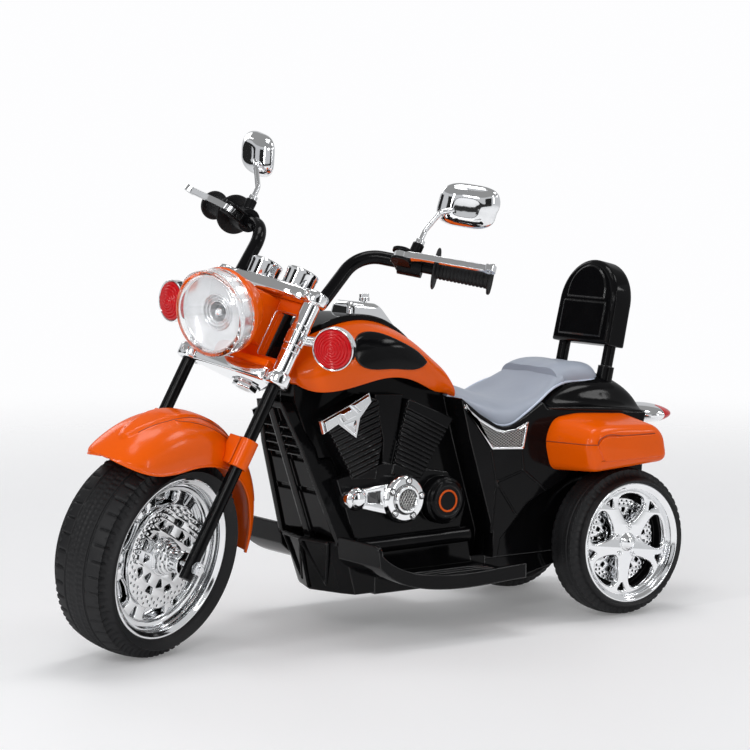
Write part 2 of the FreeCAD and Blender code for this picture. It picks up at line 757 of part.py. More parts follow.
def headlight_lens():
    """The clear dome that closes the bucket, seated on its lip."""
    outer = LAMP_R + LAMP_LIP
    runs = [
        dome(outer - 3, 9, 17),
        [(outer - 3, 9), (outer, 6)],
        [(outer, 6), (outer, 0)],
        [(outer, 0), (outer - 5, 0)],
        [(outer - 5, 0), (outer - 5, 7)],
        list(reversed(dome(outer - 5, 7, 14))),
        [(0, 14), (0, 17)],
    ]
    return turned(runs, point(*LAMP_PLACE), lamp_axis())


def headlight_bracket(neighbours):
    """The panel between the clamps: two windows, and a neck to the bucket."""
    low = LOWER_CLAMP_TOP
    high = UPPER_CLAMP_BASE
    half = FORK_HALF - FORK_R - 3.5
    front = FORK_AHEAD - 4
    plate = block(front - 7, front, -half, half, low, high)
    windows = []
    for side in (-1, 1):
        windows.append(block(front - 8, front + 1, min(side * 20, side * 43), max(side * 20, side * 43),
                             low + 16, high - 16))
    foot = block(front - 7, FORK_AHEAD + 8, -half + 4, half - 4, low, low + 8)
    side = [(front - 1, low + 22), (front - 1, high - 2), (front + 40, high - 8), (front + 48, low + 26)]
    neck = slab(side, -17, 17)
    return fused([plate.cut(windows), foot, neck]).cut([lamp_bucket(0)] + neighbours)


def indicator_axis():
    """The direction that the left indicator points in."""
    turn = math.radians(INDICATOR_TURN)
    return AHEAD * math.cos(turn) + SIDE * math.sin(turn)


def indicator_housing(forks):
    """The left indicator's cup, its stalk and its collar on the fork leg."""
    front = point(*INDICATOR_PLACE)
    r = INDICATOR_R
    d = INDICATOR_DEPTH
    runs = [
        [(0, -d), (8, -d)],
        [(8, -d), (0.75 * r, -0.75 * d), (r, -0.35 * d)],
        [(r, -0.35 * d), (r, 0)],
        [(r, 0), (r - 2, 0)],
        [(r - 2, 0), (r - 2, -0.3 * d)],
        [(r - 2, -0.3 * d), (0, -0.3 * d)],
        [(0, -0.3 * d), (0, -d)],
    ]
    cup = turned(runs, front, indicator_axis())
    leg = indicator_root()
    collar = rod(leg - UP * INDICATOR_COLLAR_H / 2, leg + UP * INDICATOR_COLLAR_H / 2, FORK_R + COLLAR_WALL)
    inner = front - indicator_axis() * 0.8 * d
    stalk = rod(leg, inner, 5.5)
    return fused([cup, collar, stalk]).cut(forks)


def indicator_lens():
    """The left indicator's ringed lens, seated in its cup."""
    r = INDICATOR_R - 2
    base = -0.3 * INDICATOR_DEPTH
    corners = [(0, base), (r, base), (r, 1), (r - 2, 3), (r - 5, 3.4), (r - 6, 4.6), (r - 9, 4.9),
               (r - 10, 6), (r - 13, 6.2), (r - 14, 7), (0, 7.6)]
    return turned(corners_to_runs(corners), point(*INDICATOR_PLACE), indicator_axis())


def gauge_pods():
    """Two round pods on the upper clamp."""
    pods = []
    for side in (-1, 1):
        place = point(FORK_AHEAD - 9, side * GAUGE_SPAN / 2, UPPER_CLAMP_TOP)
        corners = [(0, 0), (GAUGE_R - 2, 0), (GAUGE_R, 3), (GAUGE_R, GAUGE_H - 2), (GAUGE_R - 2, GAUGE_H),
                   (GAUGE_R - 3, GAUGE_H), (GAUGE_R - 4, GAUGE_H - 2), (0, GAUGE_H - 2)]
        pods.append(turned(corners_to_runs(corners), place, UP))
    return Part.makeCompound(pods)


def fender_section(angle, crown, low, half):
    """One cross section of the front fender, square to the wheel."""
    turn = math.radians(angle)
    out = point(math.cos(turn), 0, math.sin(turn))

    def place(y, radius):
        return FRONT_AXLE_STRAIGHT + out * radius + SIDE * y

    rise = crown - low
    outer = [(half, low), (0.93 * half, low + 0.42 * rise), (0.66 * half, low + 0.77 * rise),
             (0.34 * half, low + 0.95 * rise), (0, crown)]
    inner = [(y - WALL if y else 0, radius - (WALL if y < half - 3 else 0)) for y, radius in outer]
    over = outer + [(-y, radius) for y, radius in reversed(outer[:-1])]
    under = [(-y, radius) for y, radius in inner] + list(reversed(inner[:-1]))
    return closed([
        [place(y, radius) for y, radius in over],
        [place(*over[-1]), place(*under[0])],
        [place(y, radius) for y, radius in under],
        [place(*under[-1]), place(*over[0])],
    ])


def front_fender(forks):
    """The front fender, lofted round the wheel, with a lug on each fork leg."""
    skin = Part.makeLoft([fender_section(*section) for section in FENDER_SECTIONS], True)
    skin.Placement = TILT.inverse().multiply(skin.Placement)
    lug = Part.makeCylinder(FENDER_LUG_R, FENDER_LUG_H, point(FORK_AHEAD, FORK_HALF, FENDER_LUG_BASE))
    web = block(FORK_AHEAD - FENDER_LUG_R, FORK_AHEAD + FENDER_LUG_R, FENDER_WEB_INNER, FORK_HALF,
                FENDER_LUG_BASE, FENDER_LUG_BASE + FENDER_LUG_H)
    return fused([skin, lug, mirrored(lug), web, mirrored(web)]).cut(forks)


def core_corners():
    """Side outline of the tub's narrow middle, under the tank and the seat."""
    top = from_head([(-24, 262), (-24, 300), (-118, 308), (-192, 280)])
    bottom = from_head([(-76, FLOOR_Z)])
    return top + SEAT_LINE + [DECK_FRONT, DECK_REAR] + TAIL_LOW + bottom


def tub_corners():
    """Side outline of the tub behind the engine."""
    pillar = [(163.0, FLOOR_Z), (160.0, 104.0), (193.0, 212.0)]
    return SEAT_LINE + [DECK_FRONT, DECK_REAR] + TAIL_LOW + pillar


def panel_corners():
    """Side outline of the flared panel below the seat and beside the wheel."""
    arch = [(-48.0, 178.0), (40.0, 178.0), (56.0, 158.0), (112.0, 134.0), (150.0, 96.0),
            (154.0, FLOOR_Z + 4)]
    pillar = [(161.0, FLOOR_Z + 4), (160.0, 104.0), (193.0, 212.0)]
    return SEAT_LINE + [DECK_FRONT, (-64.0, 227.0)] + arch + pillar


def head_neck():
    """The head tube and the neck that joins it to the tub, as a solid bar."""
    low = LOWER_CLAMP_TOP + HEAD_CLEARANCE
    high = UPPER_CLAMP_BASE - HEAD_CLEARANCE
    tube = rod(TILT.multVec(point(0, 0, low)), TILT.multVec(point(0, 0, high)), HEAD_TUBE_R)
    ends = [TILT.multVec(point(0, 0, low + 4)), TILT.multVec(point(0, 0, high - 4))]
    corners = [(ends[0].x, ends[0].z), (ends[1].x, ends[1].z)] + from_head([(-40, 303), (-40, 262)])
    return fused([tube, slab(corners, -NECK_W / 2, NECK_W / 2)])


def head_bore():
    """The hole that the steering stem turns in."""
    return rod(TILT.multVec(point(0, 0, -80)), TILT.multVec(point(0, 0, 90)), STEM_R + RUNNING_GAP)


def front_bevel(inset):
    """The space outside the sloping face between the cowl and the engine, moved inward by a wall."""
    top = point(HEAD_X - 18, 26, 262)
    low = point(HEAD_X - 68, 62, 108)
    back = point(-52, 26, 0)
    normal = (low - top).cross(back).normalize()
    top = top - (low - top) * 0.5 - back - normal * inset
    face = Part.Face(Part.makePolygon([top, top + (low - top) * 1.6, top + (low - top) * 1.6 + back * 3,
                                       top + back * 3, top]))
    return face.extrude(normal * 80)


def body_outer():
    """The left half of the tub before it is hollowed."""
    core = slab(core_corners(), 0, CORE_HALF).cut(front_bevel(0))
    return fused([core, slab(tub_corners(), 0, TUB_HALF), slab(panel_corners(), 0, PANEL_HALF)])


def body_half():
    """The left half of the tub: a moulded shell, with half of the head tube."""
    hollow = [inset_slab(core_corners(), WALL, -1, CORE_HALF - WALL).cut(front_bevel(WALL)),
              inset_slab(tub_corners(), WALL, -1, TUB_HALF - WALL),
              inset_slab(panel_corners(), WALL, -1, PANEL_HALF - WALL)]
    shell = body_outer().cut(hollow)
    half_space = block(HEAD_X - 100, HEAD_X + 100, 0, 100, HEAD_Z - 150, HEAD_Z + 150)
    return fused([shell, head_neck().common(half_space)]).cut([head_bore(), rear_axle()])


def cowl_line(z, forward):
    """A point on the front of the cowl's panel, moved forward of it."""
    low = (HEAD_X - 66, COWL_LOW)
    high = (HEAD_X - 15, COWL_HIGH)
    share = (z - low[1]) / (high[1] - low[1])
    return (low[0] + (high[0] - low[0]) * share + forward, z)


def cowl_bar(z0, z1, y0, y1, forward, back=8.0):
    """A bar on the cowl's panel between two heights."""
    front = [cowl_line(z0, forward), cowl_line(z1, forward)]
    return slab(front + [cowl_line(z1, -back), cowl_line(z0, -back)], y0, y1)


def cowl_field(inset):
    """The cowl seen from the front: narrow at the head, wide at the chin, as a long bar along X."""
    half = [(62.0, COWL_LOW - 8), (42.0, 212.0), (25.0, COWL_HIGH)]
    corners = half + [(-y, z) for y, z in reversed(half)]
    wire = Part.makePolygon([point(HEAD_X - 150, y, z) for y, z in corners + corners[:1]])
    if inset:
        wire = wire.makeOffset2D(-inset)
    return Part.Face(wire).extrude(point(200, 0, 0))


def cowl_chin():
    """The pointed chin below the cowl's panel."""
    wires = []
    for z, nose, cheek, width in [(BELLY_Z + 2, -62.0, -76.0, 42.0), (COWL_LOW, -50.0, -58.0, 46.0)]:
        plan = [(HEAD_X + nose, 0), (HEAD_X + cheek, width), (HEAD_X + cheek - 8, width + 16),
                (HEAD_X + BELLY_FRONT, width + 16)]
        plan += [(x, -y) for x, y in reversed(plan[1:])]
        wires.append(Part.makePolygon([point(x, y, z) for x, y in plan + plan[:1]]))
    return Part.makeLoft(wires, True, True)


def front_cowl(tub):
    """The radiator cowl: border, spine, louvres and plates over a pointed chin."""
    panel = cowl_bar(COWL_LOW - 4, COWL_HIGH, -64, 64, 0, 26).common(cowl_field(0))
    border = cowl_bar(COWL_LOW - 4, COWL_HIGH, -64, 64, 6).common(cowl_field(0)).cut(cowl_field(7))
    spine = cowl_bar(COWL_LOW - 4, COWL_HIGH - 8, -5, 5, 7)
    plates = [cowl_bar(COWL_LOW + 6, 160, -60, 60, 3), cowl_bar(166, 196, -60, 60, 3)]
    for index in range(4):
        z = 203 + 10 * index
        louvre = [cowl_line(z, 6), cowl_line(z + 5, 3), cowl_line(z + 5, -4), cowl_line(z, -4)]
        plates.append(slab(louvre, -60, 60))
    inner = cowl_field(10)
    plates = [plate.common(inner) for plate in plates]
    return fused([panel, border, spine, cowl_chin()] + plates).cut([tub, mirrored(tub)])


def belly_pan():
    """The pan that closes the tub from below, with a flat underside."""
    front = HEAD_X + BELLY_FRONT
    corners = [(front, BELLY_Z), (front, FLOOR_Z), (BELLY_REAR, FLOOR_Z), (BELLY_REAR + 26, 58.0),
               (BELLY_REAR + 80, BELLY_Z)]
    return slab(corners, -BELLY_W / 2, BELLY_W / 2)


def board_curve(rise):
    """The footboard's line seen from the side, raised by a distance."""
    rear = [(BOARD_REAR, 62.0 + rise), (224.0, 59.0 + rise)]
    front = from_head([(-127.5, 62.0 + rise), (-87.0, 73.0 + rise), (-62.0, 91.0 + rise)])
    return rear + front


def footboard(neighbours):
    """The left footboard: a ribbed tray, upturned in front, with a lip along its outer edge."""
    low = board_curve(0)
    floor_top = list(reversed(board_curve(BOARD_WALL)))
    lip_top = list(reversed(board_curve(16.0)))
    inner = BELLY_W / 2
    ends = [[low[-1], floor_top[0]], [floor_top[-1], low[0]]]
    floor = curved_slab([low, ends[0], floor_top, ends[1]], inner, BOARD_OUTER)
    lip_ends = [[low[-1], lip_top[0]], [lip_top[-1], low[0]]]
    lip = curved_slab([low, lip_ends[0], lip_top, lip_ends[1]], BOARD_OUTER - BOARD_WALL, BOARD_OUTER)
    inside = curved_slab([low, lip_ends[0], lip_top, lip_ends[1]], inner, inner + BOARD_WALL)
    toe_x, toe_z = low[-1]
    toe = slab([(toe_x - BOARD_WALL, toe_z - 2), (toe_x, toe_z), (toe_x + 3, toe_z + TOE_H),
                (toe_x - BOARD_WALL + 3, toe_z + TOE_H)], inner, BOARD_OUTER)
    corners = [e for e in toe.Edges if e.BoundBox.ZLength < 0.1 and e.BoundBox.XLength > BOARD_WALL / 2]
    toe = toe.makeFillet(TOE_H / 3, [e for e in corners if e.BoundBox.ZMin > toe_z + TOE_H / 2])
    ribs = []
    for index in range(6):
        y = inner + 14 + 10 * index
        ribs.append(block(BOARD_REAR + 12, HEAD_X - 132, y, y + 3, 62, 68.5))
    return fused([floor, lip, inside, toe] + ribs).cut(neighbours)


def cylinder_corners(front):
    """Side outline of one finned cylinder."""
    if front:
        return from_head([(-36, 246), (-92, 269), (-108, 262), (-113, 214), (-104, 176), (-76, 178)])
    return from_head([(-150, 261), (-211, 236), (-167, 172), (-128, 180)])


def fins(start, end, count, depth):
    """Grooves across a cylinder between two points of its middle line."""
    along = (end - start).normalize()
    pitch = (end - start).Length / count
    groove = block(-60, 60, CORE_HALF + depth, CORE_HALF + 60, -FIN_GAP / 2, FIN_GAP / 2)
    turn = FreeCAD.Rotation(UP, along)
    cuts = []
    for index in range(count):
        cut = groove.copy()
        cut.Placement = FreeCAD.Placement(start + along * pitch * (index + 0.5), turn)
        cuts.append(cut)
    return cuts


def engine_half(tub, cowl, tank):
    """The left engine cover: two finned cylinders, the crankcase, the rail and the pulley boss."""
    inner = CORE_HALF
    face = inner + 24
    front = slab(cylinder_corners(True), inner, face)
    rear = slab(cylinder_corners(False), inner, face - 2)
    front_start = point(HEAD_X - 90, 0, 182)
    front_end = point(HEAD_X - 66, 0, 252)
    rear_start = point(HEAD_X - 150, 0, 180)
    rear_end = point(HEAD_X - 178, 0, 238)
    front = front.cut(fins(front_start, front_end, FIN_COUNT, 21))
    rear = rear.cut(fins(rear_start, rear_end, FIN_COUNT, 19))
    intake = slab(from_head([(-108, 268), (-146, 266), (-137, 216), (-136, 184), (-118, 184), (-120, 217)]),
                  inner, face - 8)
    case = slab(from_head([(-56, 178), (-79, 112), (-222, 112), (-230, 140), (-204, 176), (-120, 192)]),
                inner, face - 4)
    boss = Part.makeCylinder(26, 32, point(HEAD_X - 193, inner, 146), SIDE)
    step = Part.makeCylinder(20, 36, point(HEAD_X - 193, inner, 146), SIDE)
    rail = rod(point(HEAD_X - 82, inner + 26, 102), point(HEAD_X - 228, inner + 26, 104), 8)
    sill = slab(from_head([(-90, FLOOR_Z), (-82, 112), (-230, 112), (-238, FLOOR_Z)]), inner, inner + 20)
    solid = fused([front, rear, intake, case, boss, step, rail, sill])
    return solid.cut([tub, cowl, tank])


def rocker_cover():
    """The left chrome rocker cover on the front cylinder."""
    face = CORE_HALF + 24
    corners = from_head([(-30, 244), (-64, 258), (-94, 272), (-97, 262), (-82, 245), (-77, 223), (-53, 240),
                         (-34, 230)])
    plate = slab(corners, face, face + 6)
    ridge = slab(from_head([(-36, 243), (-66, 255), (-82, 248), (-72, 234), (-54, 244)]), face + 6, face + 9)
    return fused([plate, ridge])


def primary_cover(engine):
    """The left chrome primary cover: a large and a small round joined by a bridge."""
    base = CORE_HALF + 20
    big = point(HEAD_X - 137, base, 152)
    small = point(HEAD_X - 75, base, 157)
    side = [(0, 0), (27, 0), (27, 12), (23, 16), (15, 16), (15, 20), (12, 20), (10, 18), (0, 18)]
    drum = turned(corners_to_runs(side), big, SIDE)
    cup = turned(corners_to_runs([(0, 0), (13, 0), (13, 10), (9, 14), (0, 14)]), small, SIDE)
    strap = [(big.x, big.z + 20), (small.x, small.z + 10), (small.x, small.z - 10), (big.x, big.z - 22)]
    bridge = slab(strap, base, base + 10)
    return fused([drum, cup, bridge]).cut(engine)


def tank_wire(x, top, low, half, grow):
    """One half section of the tank, square to X, grown outward by a distance."""
    crown = top + grow
    side = half + grow
    h = crown - low
    curve = [(TANK_FLAT, crown), (TANK_FLAT + 0.56 * (side - TANK_FLAT), crown - 0.14 * h),
             (side - 2, crown - 0.44 * h), (side, crown - 0.66 * h), (side - 6, low)]
    middle = 0 if grow >= 0 else grow
    foot = low if grow >= 0 else low + grow
    runs = [[(middle, crown), (TANK_FLAT, crown)], curve]
    if foot < low:
        runs.append([(side - 6, low), (side - 6, foot)])
    else:
        runs.append([(side - 6, low), ((side - 6) / 2, low)])
    last = runs[-1][-1]
    runs += [[last, (middle, foot)], [(middle, foot), (middle, crown)]]
    return closed([[point(HEAD_X + x, y, z) for y, z in run] for run in runs])


def tank_loft(grow):
    """The left half of the tank, grown or shrunk from its outer form."""
    sections = list(TANK_SECTIONS)
    if grow < 0:
        front = sections[0]
        rear = sections[-1]
        sections[0] = (front[0] + grow, front[1], front[2], front[3])
        sections[-1] = (rear[0] - grow, rear[1], rear[2], rear[3])
    return Part.makeLoft([tank_wire(*section, grow) for section in sections], True)


def tank_half(outer, tub):
    """The left tank shell, cut away round the head tube and neck."""
    hollow = tank_loft(-WALL)
    room = rod(TILT.multVec(point(0, 0, -60)), TILT.multVec(point(0, 0, 60)), HEAD_TUBE_R + 1)
    neck_room = block(HEAD_X - 60, HEAD_X, -1, NECK_W / 2 + 1, HEAD_Z - 60, HEAD_Z + 10)
    return outer.cut([hollow, room, neck_room, tub, head_neck()])


def tank_panel(outer):
    """The left teardrop panel, raised from the side of the tank."""
    nose = (-68.0, 315.0)
    tip = (-168.0, 302.0)
    upper = [nose, (-78.0, 332.0), (-98.0, 338.0), (-128.0, 328.0), (-160.0, 310.0), tip]
    lower = [tip, (-162.0, 298.0), (-120.0, 297.0), (-92.0, 298.0), (-74.0, 304.0), nose]
    tear = curved_slab([from_head(upper), from_head(lower)], 45, 120)
    return tank_loft(PANEL_RISE).common(tear).cut(outer)


def console_base(tank, tub):
    """The black strip along the top of the tank, narrowing to the rear."""
    line = [(x, top) for x, top, low, half in TANK_SECTIONS[1:]]
    above = [(x, z + 5) for x, z in line]
    below = [(x, z - 8) for x, z in reversed(line)]
    runs = [above, [above[-1], below[0]], below, [below[-1], above[0]]]
    strip = curved_slab([from_head(run) for run in runs], -40, 40)
    plan = [(line[0][0], 24.0), (-60.0, 33.0), (-140.0, 29.0), (line[-1][0] - 2, 8.0)]
    plan += [(x, -y) for x, y in reversed(plan)]
    wire = Part.makePolygon([point(HEAD_X + x, y, 240) for x, y in plan + plan[:1]])
    trimmed = strip.common(Part.Face(wire).extrude(UP * 140))
    return trimmed.cut([tank, mirrored(tank), tub, mirrored(tub), head_neck()])


def knob_shaft():
    """The hole in the console for the key knob's shaft."""
    base = point(HEAD_X + KNOB_X, 0, 340)
    return rod(base, base + UP * 40, KNOB_SHAFT_R + RUNNING_GAP)


def console_top(x):
    """Height of the console's sloping top."""
    return 368.0 + (x + 108.0) * 0.13


def console(base):
    """The chrome console: a block with sloping sides on the strip, bored for the key knob."""
    foot = [(-94.0, 27.0), (-188.0, 13.0), (-188.0, -13.0), (-94.0, -27.0)]
    head = [(-104.0, 19.0), (-147.0, 15.0), (-147.0, -15.0), (-104.0, -19.0)]
    low = Part.makePolygon([point(HEAD_X + x, y, 318) for x, y in foot + foot[:1]])
    high = Part.makePolygon([point(HEAD_X + x, y, console_top(x)) for x, y in head + head[:1]])
    return Part.makeLoft([low, high], True, True).cut([base, knob_shaft()])


def ignition_knob():
    """The key knob on the console: a round base with a grip bar and a shaft."""
    top = console_top(KNOB_X) + MOVING_GAP + 1
    place = point(HEAD_X + KNOB_X, 0, top)
    disc = Part.makeCylinder(KNOB_R, KNOB_H / 2, place)
    bar = block(place.x - KNOB_R + 0.6, place.x + KNOB_R - 0.6, -1.6, 1.6, top, top + KNOB_H)
    shaft = Part.makeCylinder(KNOB_SHAFT_R, 12, place - UP * 12)
    return fused([disc, bar, shaft])


def saddle_x(share):
    """A place along the saddle, as a share of its length from the back."""
    return SADDLE_BACK + share * SADDLE_LENGTH


def seat_wire(x, half, crown, drop):
    """One section of the front seat, from its lower edge over the crown to the other edge."""
    low = seat_edge(x)
    shoulder = crown - drop
    side = [(half, low), (half - 1.5, low + 0.5 * (shoulder - low)), (0.66 * half, shoulder),
            (0.3 * half, crown - 1)]
    over = side + [(0, crown)] + [(-y, z) for y, z in reversed(side)]
    return closed([[point(x, y, z) for y, z in over], [point(x, -half, low), point(x, half, low)]])


def seat_edge(x):
    """Height of the seat line at a place along the trike."""
    stations = SEAT_LINE + [(62.0, 261.0), (40.0, PILLION_BASE)]
    for (x0, z0), (x1, z1) in zip(stations, stations[1:]):
        if x1 <= x <= x0:
            return z0 + (z1 - z0) * (x - x0) / (x1 - x0)
    return stations[0][1]


def seat(cutters):
    """The moulded seat: a dished saddle and a raised pad behind it."""
    sections = [(saddle_x(share), half, crown, drop) for share, half, crown, drop in SADDLE_SECTIONS]
    saddle = Part.makeLoft([seat_wire(*section) for section in sections + STEP_SECTIONS], True)
    half = PILLION_W / 2
    wires = []
    for x, width, top in [(PILLION_FRONT, half + 2, PILLION_TOP - 5),
                          (PILLION_FRONT - 16, half + 1, PILLION_TOP),
                          (6.0, half, PILLION_TOP),
                          (PILLION_REAR + 8, half - 4, PILLION_TOP - 4),
                          (PILLION_REAR, half - 10, PILLION_TOP - 10)]:
        side = [(width, PILLION_BASE), (width - 1, top - 9), (width - 9, top - 2), (0.4 * width, top - 0.5)]
        over = side + [(0, top)] + [(-y, z) for y, z in reversed(side)]
        base = [point(x, -width, PILLION_BASE), point(x, width, PILLION_BASE)]
        wires.append(closed([[point(x, y, z) for y, z in over], base]))
    pad = Part.makeLoft(wires, True)
    return fused([saddle, pad]).cut(cutters)


def deck_height(x):
    """Height of the rear deck that the fender stands on."""
    share = (x - DECK_REAR[0]) / (DECK_FRONT[0] - DECK_REAR[0])
    return DECK_REAR[1] + share * (DECK_FRONT[1] - DECK_REAR[1])


def rear_fender_loft(shrink):
    """The domed rear fender, or the room inside it."""
    wires = []
    for x, crown, half in REAR_FENDER_SECTIONS:
        deck = deck_height(x)
        top = crown - shrink
        side = half - shrink
        h = top - deck
        skirt = [(side, deck - shrink), (side, deck + 0.1 * h)]
        curve = [(side, deck + 0.1 * h), (0.86 * side, deck + 0.24 * h), (0.77 * side, deck + 0.58 * h),
                 (0.52 * side, top - 0.1 * h), (0, top)]
        curve += [(-y, z) for y, z in reversed(curve[:-1])]
        wires.append(closed([[point(x, y, z) for y, z in run] for run in [
            skirt, curve, [(-y, z) for y, z in reversed(skirt)], [(-skirt[0][0], skirt[0][1]), skirt[0]]]]))
    return Part.makeLoft(wires, True)


def rear_fender(tub, sockets):
    """The rear fender's shell on the deck."""
    outer = rear_fender_loft(0)
    return outer.cut([rear_fender_loft(WALL), tub, mirrored(tub), sockets])


def saddlebag(cutters):
    """The left saddlebag: a tapered, rounded case with a grooved border round its side panel."""
    sides = [outline(BAG_INNER_SIDE, PANEL_HALF), outline(BAG_OUTER_SIDE, BAG_OUTER)]
    case = Part.makeLoft(sides, True, True)
    rounded = [e for e in case.Edges if e.BoundBox.YMax > PANEL_HALF + 1]
    case = case.makeFillet(BAG_EDGE_R, rounded)
    border = slab(BAG_PANEL, BAG_OUTER - 1.2, BAG_OUTER + 1)
    field = inset_slab(BAG_PANEL, 2.2, BAG_OUTER - 1.2, BAG_OUTER + 1)
    return case.cut([border.cut(field)] + cutters)


def side_grille():
    """The left grille below the seat: a frame round a diamond mesh."""
    shape = [(0.983, 252.0), (0.643, 199.0), (0.252, 196.0), (0.19, 228.0), (0.348, 220.5), (0.487, 219.0),
             (0.591, 222.5), (0.791, 235.0)]
    frame = [(saddle_x(share), z) for share, z in shape]
    plate = slab(frame, PANEL_HALF, PANEL_HALF + 2.5)
    opening = inset_slab(frame, 3, PANEL_HALF - 1, PANEL_HALF + 5)
    holes = []
    for row in range(28):
        for column in range(20):
            x = saddle_x(0.217) + MESH_PITCH * (column + 0.5 * (row % 2))
            z = 197.0 + MESH_PITCH * 0.36 * row
            if opening.isInside(point(x, PANEL_HALF, z), 0.01, True):
                diamond = [(x - 2, z), (x, z + 1.3), (x + 2, z), (x, z - 1.3)]
                holes.append(slab(diamond, PANEL_HALF - 1, PANEL_HALF + 5))
    return plate.cut(holes)


def backrest_frame():
    """The backrest's placement: leaning back from the foot of its pad."""
    return FreeCAD.Placement(point(*BACKREST_BASE), FreeCAD.Rotation(SIDE, -BACKREST_LEAN))


def arch_wire(x, half, base, top):
    """An arch seen from the front, at a distance ahead of the pad's middle."""
    spring = top - half
    return closed([
        [point(x, -half, base), point(x, half, base)],
        [point(x, half, base), point(x, half * 0.98, spring)],
        [point(x, half * 0.98, spring), point(x, 0, top), point(x, -half * 0.98, spring)],
        [point(x, -half * 0.98, spring), point(x, -half, base)],
    ])


def backrest_pad(struts):
    """The arched pad, rounded all over, with a raised upper and lower field on its front."""
    half = BACKREST_W / 2
    front = BACKREST_T / 2
    pad = Part.Face(arch_wire(-front, half, 0, BACKREST_H)).extrude(point(BACKREST_T, 0, 0))
    pad = pad.makeFillet(BACKREST_EDGE_R, [e for e in pad.Edges if e.BoundBox.XLength < 1])
    upper = Part.Face(arch_wire(front - 1, half - 18, 54, BACKREST_H - 8)).extrude(point(2.5, 0, 0))
    lower = Part.makeBox(2.5, 2 * half - 28, 40, point(front - 1, -half + 14, 9))
    solid = fused([pad, upper, lower])
    solid.Placement = backrest_frame().multiply(solid.Placement)
    return solid.cut(struts)


def backrest_struts():
    """Two posts from the fender into the pad, each with a foot socket."""
    frame = backrest_frame()
    posts = []
    for side in (-1, 1):
        y = side * STRUT_SPAN / 2
        foot = frame.multVec(point(0, y, -44))
        head = frame.multVec(point(0, y, 50))
        collar_top = frame.multVec(point(0, y, -24))
        posts.append(fused([rod(foot, head, STRUT_R), rod(foot, collar_top, STRUT_SOCKET_R)]))
    return Part.makeCompound(posts)


def lamp_loft(shrink, front, rear):
    """The tail lamp's flattened pod between two places along the trike."""
    wires = []
    for x, half, height in [(-90.0, 14.0, 8.0), (-104.0, 32.0, 20.0), (-122.0, 40.0, 24.0),
                            (-140.0, 34.0, 18.0), (-150.0, 16.0, 7.0)]:
        if front >= x >= rear:
            ellipse = Part.Ellipse(point(x, 0, 216), half - shrink, height / 2 - shrink / 2)
            ring = ellipse.toShape()
            ring.rotate(point(x, 0, 216), UP, 90)
            ring.rotate(point(x, 0, 216), SIDE, 90)
            wires.append(Part.Wire(ring))
    return Part.makeLoft(wires, True)


def tail_lamp(fender, tub):
    """The tail lamp's chrome pod with its stalk, and its lens at the rear."""
    pod = lamp_loft(0, -80, -160)
    split = block(-160, -126, -60, 60, 190, 226)
    lens = pod.common(split)
    stalk = block(-100, -64, -9, 9, 209, 221)
    housing = fused([pod.cut(split), stalk]).cut([fender, tub, mirrored(tub)])
    return housing, lens


def gearbox(axle, motor):
    """The closed reduction box on the axle, beside the right wheel."""
    length, width, height = GEARBOX
    inner = -TUB_HALF + WALL
    base = FLOOR_Z + WALL
    case = block(-length * 0.36, length * 0.64, inner, inner + width, base, base + height)
    spigot = rod(point(0, inner - WALL, REAR_TYRE_R), point(0, inner, REAR_TYRE_R), REAR_AXLE_R + 3)
    return fused([case, spigot]).cut([axle, motor])


def drive_motor():
    """The motor, flanged to the gearbox."""
    start = -TUB_HALF + WALL + GEARBOX[1]
    z = FLOOR_Z + WALL + GEARBOX[2] - MOTOR_R - 2
    x = GEARBOX[0] * 0.64 - MOTOR_R - 2
    can = rod(point(x, start, z), point(x, start + MOTOR_LENGTH, z), MOTOR_R)
    nose = rod(point(x, start - 4, z), point(x, start, z), MOTOR_R / 2)
    tail = rod(point(x, start + MOTOR_LENGTH, z), point(x, start + MOTOR_LENGTH + 5, z), MOTOR_R / 2)
    return fused([can, nose, tail])


def battery():
    """The sealed battery on the tub's floor, with two tabs."""
    length, width, height = BATTERY
    base = FLOOR_Z + WALL
    case = block(BATTERY_X, BATTERY_X + length, -width / 2, width / 2, base, base + height)
    tabs = [block(BATTERY_X + 8, BATTERY_X + 14, y - 2.4, y + 2.4, base + height, base + height + 6)
            for y in (-width / 4, width / 4)]
    return fused([case] + tabs)


def charging_socket():
    """The charging socket in the right side panel: a flanged barrel with a plain bore."""
    x, z = SOCKET_PLACE
    face = point(x, -PANEL_HALF, z)
    barrel = rod(face, face + SIDE * (SOCKET_DEPTH + 3), SOCKET_R - 1.5)
    flange = rod(face - SIDE * 2, face, SOCKET_R)
    bore = rod(face - SIDE * 2, face + SIDE * (SOCKET_DEPTH - 2), SOCKET_BORE_R)
    return fused([barrel, flange]).cut(bore)


def switch_pocket():
    """The pocket in the right side panel that the direction switch rocks in."""
    x, z = SWITCH_PLACE
    y = -PANEL_HALF
    outer = block(x - 14, x + 14, y - 1.5, y + 14, z - 9, z + 9)
    inner = block(x - 11, x + 11, y - 3, y + 11, z - 6, z + 6)
    pin = rod(point(x, y + 5, z - 6), point(x, y + 5, z + 6), 1.5)
    return outer, inner, pin


def direction_switch():
    """The rocker on its pin: two sloping halves that meet at the middle."""
    x, z = SWITCH_PLACE
    y = -PANEL_HALF
    corners = [(x - 9.5, y - 3.5), (x, y - 1), (x + 9.5, y - 3.5), (x + 9, y + 2), (x + 4, y + 8),
               (x - 4, y + 8), (x - 9, y + 2)]
    wire = Part.makePolygon([point(a, b, z - 5.5) for a, b in corners + corners[:1]])
    rocker = Part.Face(wire).extrude(UP * 11)
    return rocker.cut(rod(point(x, y + 5, z - 6), point(x, y + 5, z + 6), 1.5 + RUNNING_GAP))


def pedal_axis():
    """The line that the foot pedal tips about."""
    return point(PEDAL_X, PEDAL_Y, 64.0 + BOARD_WALL + 9)


